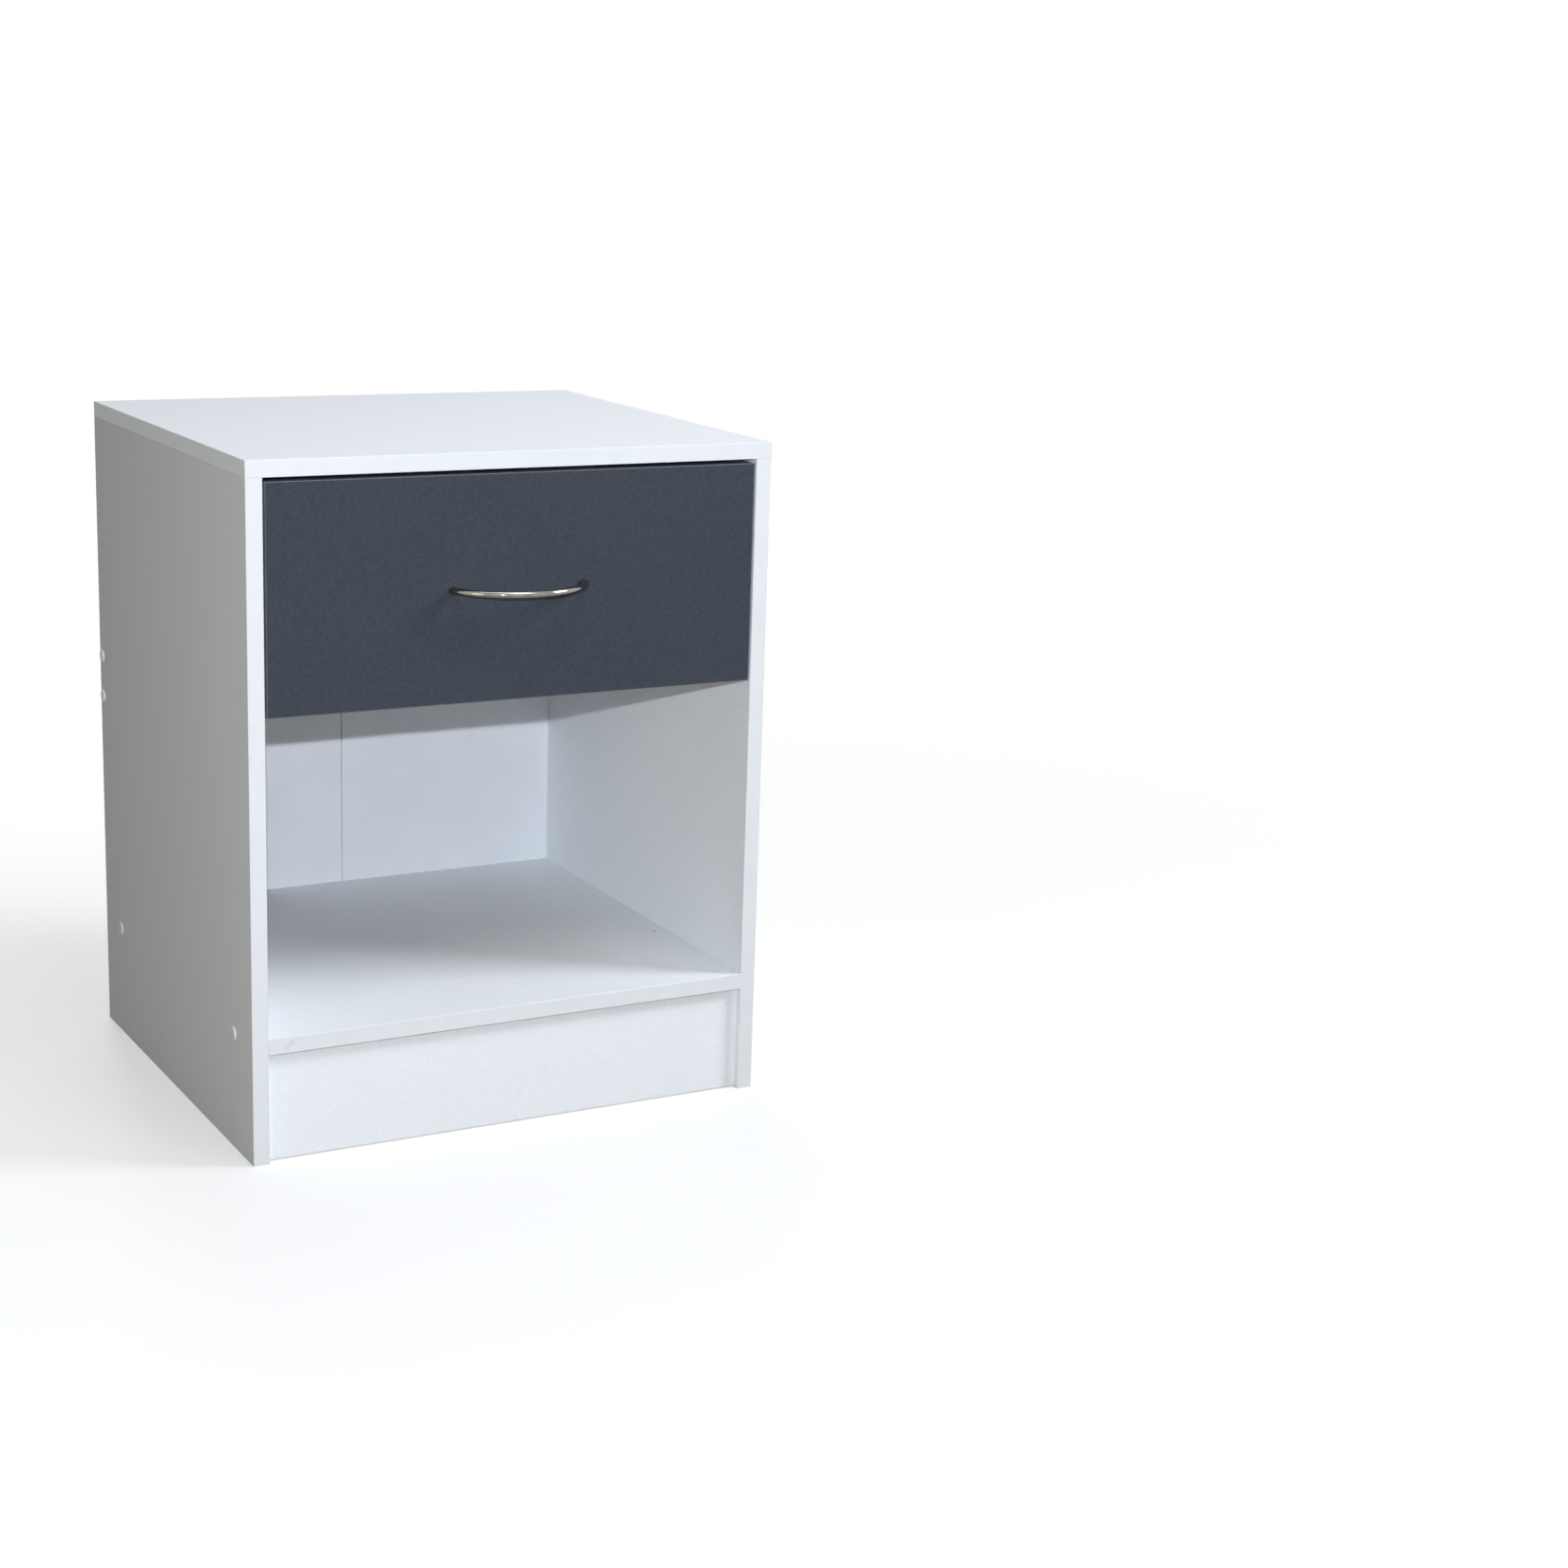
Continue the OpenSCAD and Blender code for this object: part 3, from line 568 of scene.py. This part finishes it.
def beech_finish(name, squeeze):
    """Beech whose grain runs along the way of the small squeeze."""
    material, make = new_finish(name)
    here = make.place()
    grain = make.noise(make.stretched(here, squeeze), detail=4.0, roughness=0.65)
    fine = make.noise(make.stretched(here, squeeze), PORES_PER_GRAIN)
    pores = make.smooth(fine, low=0.62, high=0.72)
    wood = make.mix(make.smooth(grain, low=0.3, high=0.7), *BEECH)
    return wire_up(
        material,
        Base_Color=make.mix(pores * PORE_STRENGTH, wood, PORE_BROWN),
        Roughness=grain * GRAIN_ROUGHNESS + WOOD_ROUGHNESS,
        Normal=make.bump(grain - pores, PORE_DEPTH),
    )


beech_level = beech_finish("beech_along_x", (GRAIN_ALONG, GRAIN_ACROSS, GRAIN_ACROSS))
beech_deep = beech_finish("beech_along_y", (GRAIN_ACROSS, GRAIN_ALONG, GRAIN_ACROSS))
beech_upright = beech_finish("beech_along_z", (GRAIN_ACROSS, GRAIN_ACROSS, GRAIN_ALONG))
report("beech:", [beech_level, beech_deep, beech_upright])

# %% [markdown]
# ## Dressing the solids
# A solid whose shape is already right only needs its material slot filled. One table says
# which finish each solid takes, which is easier to check than a line for each solid, and the
# loop stops with an error if a solid is missing from it.

# %% Give each solid its finish
FINISHES = {
    white_board: ["top_panel", "drawer_side_left", "drawer_side_right"],
    shelf_board: ["bottom_shelf"],
    side_board: ["left_side_panel", "right_side_panel"],
    cross_board: ["plinth", "rear_rail", "drawer_back"],
    grey_board: ["drawer_front"],
    level_band: ["top_edge_band", "shelf_edge_band"],
    upright_band: ["side_edge_bands"],
    grey_band_painted_highlight: ["drawer_front_edge_band"],
    back_board: ["back_panel_left", "back_panel_right"],
    bottom_board: ["drawer_bottom"],
    paper_tape: ["back_fold_tape"],
    plated_steel: [
        "back_nails", "carcass_screws", "top_cam_bolts", "cabinet_runner_screws",
        "cabinet_roller_pins", "drawer_bottom_nails", "drawer_cam_bolts",
        "drawer_back_screws", "handle_screws", "drawer_runner_screws", "drawer_roller_pins",
    ],
    cast_metal: ["top_cams", "drawer_cams"],
    chromed: ["handle"],
    painted_steel: [
        "cabinet_runner_left", "cabinet_runner_right",
        "drawer_runner_left", "drawer_runner_right",
    ],
    nylon: [
        "front_roller_left", "front_roller_right", "rear_roller_left", "rear_roller_right",
    ],
    cap_plastic: ["screw_caps"],
    beech_level: ["plinth_dowels"],
    beech_deep: ["drawer_dowels"],
    beech_upright: ["top_dowels"],
}
finish_of = {node: finish for finish, nodes in FINISHES.items() for node in nodes}
for node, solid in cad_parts.items():
    solid.material_slots[0].material = finish_of[node]
print("solids dressed:", len(finish_of))

# %% [markdown]
# ## Making a piece
# Each new piece below is drawn in a bmesh, Blender's editable mesh, and then becomes an
# object at the origin, as the solids are. Each piece could take its closing steps by
# itself, but a forgotten one, such as faces left inside out, is hard to see later. So one
# function does them for all: it merges doubles, turns the faces outwards, shades them smooth
# where the angle is small, says which body the piece moves with, and hides the solid that it
# stands for.

# %% Turn a bmesh into a piece
SMOOTH_ANGLE = radians(35)
MERGE_DISTANCE = 1e-6


def make_piece(name, mesh, material, body, solid):
    """A finished object from a bmesh, riding on a body in place of a solid."""
    bmesh.ops.remove_doubles(mesh, verts=mesh.verts, dist=MERGE_DISTANCE)
    bmesh.ops.recalc_face_normals(mesh, faces=mesh.faces)
    data = bpy.data.meshes.new(name)
    mesh.to_mesh(data)
    mesh.free()
    data.shade_smooth()
    data.set_sharp_from_angle(angle=SMOOTH_ANGLE)
    data.materials.append(material)
    piece = bpy.data.objects.new(name, data)
    bpy.context.scene.collection.objects.link(piece)
    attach(piece, body)
    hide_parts(solid)
    print(name, "faces:", len(data.polygons), "rides on", body)
    return piece


print("pieces shade smoothly below", round(SMOOTH_ANGLE, 3), "radians")

# %% [markdown]
# ## The bow handle
# The handle is a round bar bent into a shallow bow, held by a screw into each end. Its ends
# spread sideways into oval feet, which cover the screws and lie flat on the drawer. A curve
# with a bevel could do it, but its section is awkward to steer, so rings are set out along
# the bow, each turned as on half an ellipse and stretched near the feet, and neighbouring
# rings are bridged. The bow's reach and height come from its solid.

# %% Size the bow from its solid
FOOT_SPACING, BAR_RADIUS = 0.0994, 0.0023
FOOT_SIDEWAYS, FOOT_UPRIGHT = 0.0043, 0.0027
BOW_FULLNESS, FOOT_TAPER = 1.3, 2.6
BOW_RINGS, RING_SIDES = 57, 28

bow_low, bow_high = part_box("handle")
bow_half = FOOT_SPACING / 2
bow_reach = bow_high.y - bow_low.y - BAR_RADIUS
bow_height = (bow_low.z + bow_high.z) / 2
print("bow: feet", FOOT_SPACING, "apart, reach", round(bow_reach, 4))


# %% Sweep the bow
def bow_ring(share):
    """Place, turn and stretch of the ring at a share of the way round the bow."""
    turn = pi * share
    rise = abs(sin(turn))
    out = bow_reach * rise ** BOW_FULLNESS
    centre = Vector((-bow_half * cos(turn), bow_high.y - out, bow_height))
    travel = Vector((bow_half * rise, -bow_reach * cos(turn), 0.0))
    turned = travel.to_track_quat("Z", "Y").to_matrix().to_4x4()
    foot = (1.0 - rise) ** FOOT_TAPER
    sideways = BAR_RADIUS + (FOOT_SIDEWAYS - BAR_RADIUS) * foot
    upright = BAR_RADIUS + (FOOT_UPRIGHT - BAR_RADIUS) * foot
    stretch = Matrix.Diagonal((sideways, upright, 1.0, 1.0))
    return Matrix.Translation(centre) @ turned @ stretch


def sweep_bow():
    mesh = bmesh.new()
    rings = []
    for i in range(BOW_RINGS):
        made = bmesh.ops.create_circle(
            mesh, cap_ends=i in (0, BOW_RINGS - 1), segments=RING_SIDES, radius=1.0,
            matrix=bow_ring(i / (BOW_RINGS - 1)),
        )
        rings.append({edge for vert in made["verts"] for edge in vert.link_edges})
    for first, second in zip(rings, rings[1:]):
        bmesh.ops.bridge_loops(mesh, edges=list(first | second))
    return mesh


make_piece("bow_handle", sweep_bow(), chromed, "drawer", "handle")

# %% [markdown]
# ## Islands of a solid
# Some solids hold several loose bodies, such as the eight caps over the carcass screws.
# Their places could be typed in again, but they would go stale when a board moves. Instead
# a copy is merged and its islands are walked, and their boxes tell where each body sits.

# %% Boxes of the islands
def island_boxes(node):
    """Lowest and highest corner of each loose body in a solid."""
    copy = bmesh.new()
    copy.from_mesh(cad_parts[node].data)
    bmesh.ops.remove_doubles(copy, verts=copy.verts, dist=MERGE_DISTANCE)
    left, boxes = set(copy.verts), []
    while left:
        reached, queue = set(), [left.pop()]
        while queue:
            vert = queue.pop()
            reached.add(vert)
            near = [edge.other_vert(vert) for edge in vert.link_edges]
            queue += [other for other in near if other in left]
            left -= set(near)
        spans = [[vert.co[axis] for vert in reached] for axis in range(3)]
        boxes.append((Vector(map(min, spans)), Vector(map(max, spans))))
    copy.free()
    return boxes


cap_boxes = island_boxes("screw_caps")
print("screw caps:", len(cap_boxes))

# %% [markdown]
# ## Screw caps
# A pressed-in cap hides each carcass screw: a thin disc with a soft rim and a slightly
# crowned look. A flattened sphere would be too round, so a disc is raised and its rim is
# bevelled in a few steps; smooth shading carries the curve of the rim on to the middle.

# %% Model one cap and set it in eight places
CAP_SIDES, CAP_RIM_SHARE, CAP_RIM_STEPS = 36, 0.6, 4
side_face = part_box("right_side_panel")[1].x


def add_cap(mesh, low, high):
    """A cap in the box between two corners, raised from a side panel's outer face."""
    outwards = 1.0 if low.x > 0 else -1.0
    proud = max(abs(low.x), abs(high.x)) - side_face
    radius = (high.z - low.z) / 2
    centre = Vector((side_face * outwards, (low.y + high.y) / 2, (low.z + high.z) / 2))
    disc = bmesh.ops.create_circle(mesh, cap_ends=True, segments=CAP_SIDES, radius=radius)
    face = disc["verts"][0].link_faces[0]
    raised = bmesh.ops.extrude_face_region(mesh, geom=[face])["geom"]
    top = [item for item in raised if isinstance(item, bmesh.types.BMVert)]
    bmesh.ops.translate(mesh, verts=top, vec=(0.0, 0.0, proud))
    rim = [edge for edge in mesh.edges if edge.is_valid and set(edge.verts) <= set(top)]
    rounded = bmesh.ops.bevel(
        mesh, geom=rim, offset=proud * CAP_RIM_SHARE, segments=CAP_RIM_STEPS, profile=0.5,
        affect="EDGES", material=-1,
    )
    cap = [vert for vert in set(disc["verts"]) | set(rounded["verts"]) if vert.is_valid]
    turned = Matrix.Translation(centre) @ Matrix.Rotation(outwards * pi / 2, 4, "Y")
    bmesh.ops.transform(mesh, verts=cap, matrix=turned)


caps = bmesh.new()
for cap_box in cap_boxes:
    add_cap(caps, *cap_box)
make_piece("screw_covers", caps, cap_plastic, "carcass", "screw_caps")

# %% [markdown]
# ## Folded runners
# A runner is a strip of steel folded lengthwise, so its bends are round outside and its cut
# edges are slightly eased, while the exact solids keep both sharp. Drawing the section again
# would lose the bores and stops. Instead a copy is merged, its flat faces are joined, and the
# long edges are bevelled: widely at a bend, finely where the strip ends. Faces that look
# straight along an axis stay flat, so that only the bends shade smoothly.

# %% Find the long edges to round
STEEL_THICKNESS, LONG_EDGE = 0.001, 0.05
CUT_FACE_WIDTH = 1.5 * STEEL_THICKNESS
SQUARE_FROM, SQUARE_TO = radians(80), radians(100)


def is_cut(edge):
    """True beside the narrow face that shows the strip's own thickness."""
    widths = [face.calc_area() / edge.calc_length() for face in edge.link_faces]
    return min(widths) < CUT_FACE_WIDTH


def long_corners(mesh, at_cut):
    """The long outer corners, either at the strip's cut edges or at its bends."""
    long_ones = [edge for edge in mesh.edges if edge.calc_length() >= LONG_EDGE]
    joined = [edge for edge in long_ones if len(edge.link_faces) == 2 and edge.is_convex]
    square = [edge for edge in joined if SQUARE_FROM < edge.calc_face_angle() < SQUARE_TO]
    return [edge for edge in square if is_cut(edge) == at_cut]


print("a long edge is over", LONG_EDGE, "metres")

# %% [markdown]
# ## Rounding the folds
# Steel comes out of a folding press with bends about as round as it is thick. A Bevel
# modifier could round them, but it picks edges by their angle and would catch the bores too,
# so the edges found above are bevelled: the bends first, since a bevel changes which faces
# meet. On each side one half of the runner is screwed to the cabinet and rides on the
# carcass, and the other is screwed to the drawer and rides on it.

# %% Round the bends of the four runner halves
BEND_SHARE, EDGE_EASE, BEND_STEPS = 0.95, 0.0002, 4
FLAT_FROM, LEVEL_WITHIN = 0.999, radians(1)
RUNNER_BODIES = {"cabinet": "carcass", "drawer": "drawer"}


def fold_runner(node, body):
    mesh = bmesh.new()
    mesh.from_mesh(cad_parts[node].data)
    bmesh.ops.remove_doubles(mesh, verts=mesh.verts, dist=MERGE_DISTANCE)
    bmesh.ops.dissolve_limit(
        mesh, angle_limit=LEVEL_WITHIN, verts=mesh.verts, edges=mesh.edges,
        use_dissolve_boundaries=False,
    )
    for at_cut, offset in ((False, STEEL_THICKNESS * BEND_SHARE), (True, EDGE_EASE)):
        corners = long_corners(mesh, at_cut)
        bmesh.ops.bevel(
            mesh, geom=corners, offset=offset, segments=BEND_STEPS, profile=0.5,
            affect="EDGES", material=-1, clamp_overlap=True,
        )
        print(node, "cut edges" if at_cut else "bends", len(corners))
    runner = make_piece(node + "_folded", mesh, painted_steel, body, node)
    for face in runner.data.polygons:
        face.use_smooth = max(map(abs, face.normal)) < FLAT_FROM


for half, half_body in RUNNER_BODIES.items():
    for side in ("left", "right"):
        fold_runner(f"{half}_runner_{side}", half_body)

# %% [markdown]
# ## Rollers
# A nylon roller is a short wheel: a slightly crowned tread, rounded shoulders, a dished side
# and a hub that turns on the axle. Stacked cylinders could stand for it, but their seams
# would show. A turned shape is one outline carried once round its axis, so a few vertices
# are spun, which is what a lathe or its mould does.

# %% The outline of a roller
RIM_SHARE, HUB_SHARE, DISH_SHARE = 0.86, 0.56, 0.16
LIP, DRAFT, SHOULDER = 0.0004, 0.0003, 0.0005
SHOULDER_DROP, SHOULDER_INSET = 0.00015, 0.00025
CROWN_DROP, CROWN_INSET = 0.00003, 0.0009


def roller_outline(radius, width, bore):
    """Distance from the axis and place along it, from one side of the bore to the other."""
    rim, hub, dish = radius * RIM_SHARE, radius * HUB_SHARE, width * DISH_SHARE
    side = [
        (bore, 0.0), (hub - LIP, 0.0), (hub, LIP), (hub + DRAFT, dish),
        (rim - DRAFT, dish), (rim, LIP), (rim + DRAFT, 0.0), (radius - SHOULDER, 0.0),
        (radius - SHOULDER_DROP, SHOULDER_INSET), (radius - CROWN_DROP, CROWN_INSET),
    ]
    return side + [(radius, width / 2)] + [(r, width - x) for r, x in reversed(side)]


print("hub and rim at", HUB_SHARE, "and", RIM_SHARE, "of a roller's radius")

# %% [markdown]
# ## Spinning the rollers
# Each roller takes its place, radius and width from its solid's box, and its axle is a third
# as thick as the roller, with a little air round it. The four could share one mesh, but every
# finished piece lies in the shared frame by its own mesh, so each is spun in its place. The
# spin closes on itself, so its last step is merged with its first. Each roller rides on a
# body of its own, because it turns.

# %% Spin the four rollers
ROLLER_STEPS, ROLLER_TO_AXLE, BORE_AIR = 48, 3, 0.0001


def spin_roller(node):
    low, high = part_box(node)
    centre, radius, width = (low + high) / 2, (high.z - low.z) / 2, high.x - low.x
    mesh = bmesh.new()
    outline = roller_outline(radius, width, radius / ROLLER_TO_AXLE + BORE_AIR)
    verts = [mesh.verts.new((low.x + x, centre.y, centre.z + r)) for r, x in outline]
    edges = [mesh.edges.new(pair) for pair in zip(verts, verts[1:] + verts[:1])]
    bmesh.ops.spin(
        mesh, geom=verts + edges, cent=centre, axis=(1.0, 0.0, 0.0), angle=2 * pi,
        steps=ROLLER_STEPS, use_merge=True,
    )
    make_piece(node + "_wheel", mesh, nylon, node, node)


for end in ("front", "rear"):
    for side in ("left", "right"):
        spin_roller(f"{end}_roller_{side}")

# %% [markdown]
# ## The floor
# The cabinet stands on a plain pale floor that runs out to white. More light would bleach it
# but would bleach the cabinet too, so the floor itself adds a glow that only the camera and
# mirrors see. It grows with distance, and near the cabinet enough of the plain floor is left
# to carry the shadow. Light that bounces off the floor sees a duller colour, so that the
# white boards aren't lit from below.

# %% The floor
FLOOR_RADIUS, FLOOR_SIDES = 6.0, 96
GLOW_NEAR, GLOW_FAR, NEAREST_GLOW = 0.3, 1.4, 0.4
FLOOR_PALE, FLOOR_BOUNCE = (colour(246, 247, 248), colour(250, 251, 252)), colour(122, 113, 98)
PURE_WHITE = (1.0, 1.0, 1.0, 1.0)


def floor_finish():
    """A plain floor mixed with a glow that grows away from the cabinet."""
    material, make = new_finish("pale_floor", Roughness=0.9)
    here = make.place()
    away = make.node("ShaderNodeVectorMath", {"operation": "LENGTH"}, {0: here}, output="Value")
    far = make.smooth(away, GLOW_NEAR, GLOW_FAR) * (1.0 - NEAREST_GLOW) + NEAREST_GLOW
    seen, mirrored = make.ray("Is Camera Ray"), make.ray("Is Glossy Ray")
    pale = make.mix(make.noise(here, per_metre=3.0), *FLOOR_PALE)
    wire_up(material, Base_Color=make.mix(seen, FLOOR_BOUNCE, pale))
    plain = Wire(make, material.node_tree.nodes["Principled BSDF"].outputs[0])
    glow = make.node("ShaderNodeEmission", {}, {"Color": PURE_WHITE, "Strength": 1.0})
    share = far * make.either(seen, mirrored)
    mixed = make.node("ShaderNodeMixShader", {}, {0: share, 1: plain, 2: glow})
    output = material.node_tree.nodes["Material Output"]
    material.node_tree.links.new(mixed.socket, output.inputs["Surface"])
    return material


disc = bmesh.new()
bmesh.ops.create_circle(disc, cap_ends=True, segments=FLOOR_SIDES, radius=FLOOR_RADIUS)
floor_data = bpy.data.meshes.new("floor")
disc.to_mesh(floor_data)
disc.free()
floor_data.materials.append(floor_finish())
floor = bpy.data.objects.new("floor", floor_data)
bpy.context.scene.collection.objects.link(floor)
print("floor radius:", FLOOR_RADIUS)

# %% [markdown]
# ## The surroundings
# A studio has white walls in view and in every mirror, but the light that reaches the boards
# comes mostly from lamps. A white world would light the cabinet from all sides and wash its
# shadows out. So the world is white only to rays from the camera, mirrors and glass, and a
# dim grey dome, a little brighter overhead, to all others.

# %% The surroundings
DOME_LOW, DOME_HIGH = (0.03, 0.03, 0.03, 1.0), (0.05, 0.05, 0.05, 1.0)
DOME_RISE = 0.9

world = bpy.data.worlds.new("studio")
bpy.context.scene.world = world
world.use_nodes = True
sky = FinishRecipe(world.node_tree)
direction = sky.node("ShaderNodeTexCoord", output="Generated")
upward = sky.node("ShaderNodeSeparateXYZ", {}, {0: direction}, output="Z")
dome = sky.mix(sky.smooth(upward, 0.0, DOME_RISE), DOME_LOW, DOME_HIGH)
in_view = sky.ray("Is Camera Ray")
for kind in ("Is Glossy Ray", "Is Transmission Ray"):
    in_view = sky.either(in_view, sky.ray(kind))
backdrop = sky.mix(in_view, dome, PURE_WHITE)
background = world.node_tree.nodes["Background"]
world.node_tree.links.new(backdrop.socket, background.inputs["Color"])
print("surroundings: white in view, dim grey as light")

# %% [markdown]
# ## The lamps
# Seven square lamps light the cabinet. The key lamp at the right reaches into the open
# compartment, and a tiny one just above the camera draws the drawer's sharp shadow on the
# back panel. Wide ones in front and overhead keep the top and front even, two at the rear
# light the back, and a weak warm one at the left opens the shaded side. One table holds
# them, because balancing lamps means comparing them.

# %% The lamps
LAMP_AIM = Vector((0.0, 0.0, 0.25))
NEUTRAL = (1.0, 1.0, 1.0)
LAMPS = {
    # name: place, width, watts, tint
    "key_lamp": ((1.96, -1.15, 1.55), 0.75, 40.0, (0.97, 1.0, 1.05)),
    "camera_lamp": ((-0.795, -1.94, 0.86), 0.02, 24.0, (0.95, 1.0, 1.07)),
    "front_lamp": ((0.2, -1.2, 2.4), 1.0, 13.0, NEUTRAL),
    "overhead_lamp": ((0.1, 0.1, 2.6), 1.2, 9.0, NEUTRAL),
    "rear_lamp": ((0.9, 2.4, 1.4), 1.2, 14.0, NEUTRAL),
    "back_lamp": ((0.25, 2.4, 0.28), 0.4, 36.0, NEUTRAL),
    "side_lamp": ((-1.2, -0.9, 0.5), 0.4, 1.7, (1.12, 1.0, 0.84)),
}


def add_lamp(name, place, width, watts, tint):
    """A square lamp at a place, turned to face the cabinet."""
    data = bpy.data.lights.new(name, "AREA")
    data.size, data.energy, data.color = width, watts, tint
    lamp = bpy.data.objects.new(name, data)
    lamp.location = place
    lamp.rotation_euler = (LAMP_AIM - Vector(place)).to_track_quat("-Z", "Y").to_euler()
    bpy.context.scene.collection.objects.link(lamp)


for name, settings in LAMPS.items():
    add_lamp(name, *settings)
print("lamps:", len(bpy.data.lights))

# %% [markdown]
# ## The camera
# The camera stands in front and to the left, somewhat above the top, about two metres away,
# and looks slightly down with a fairly long lens, which keeps the boards' edges nearly
# parallel. It could track an empty object, but three turns from level are easier to read:
# towards the right, downwards, and a small roll. Colours are shown as they are, without a
# film look.

# %% The camera
CAMERA_PLACE = Vector((-0.79496, -1.93657, 0.74790))
YAW, PITCH, ROLL = 0.5200, 0.2436, 0.0348
SENSOR_MILLIMETRES, LENS_MILLIMETRES = 36.0, 63.74

camera_data = bpy.data.cameras.new("camera")
camera_data.sensor_width = SENSOR_MILLIMETRES
camera_data.lens = LENS_MILLIMETRES
camera = bpy.data.objects.new("camera", camera_data)
camera.location = CAMERA_PLACE
aimed = Matrix.Rotation(-YAW, 3, "Z") @ Matrix.Rotation(pi / 2 - PITCH, 3, "X")
camera.rotation_euler = (aimed @ Matrix.Rotation(ROLL, 3, "Z")).to_euler()
bpy.context.scene.collection.objects.link(camera)
bpy.context.scene.camera = camera
bpy.context.scene.view_settings.view_transform = "Standard"
print("camera at", list(CAMERA_PLACE), "with a lens of", LENS_MILLIMETRES, "mm")

# %% [markdown]
# ## Closing
# The visible pieces must not grow past the exact solids, or the shown cabinet would no longer
# be the one that the solids describe.
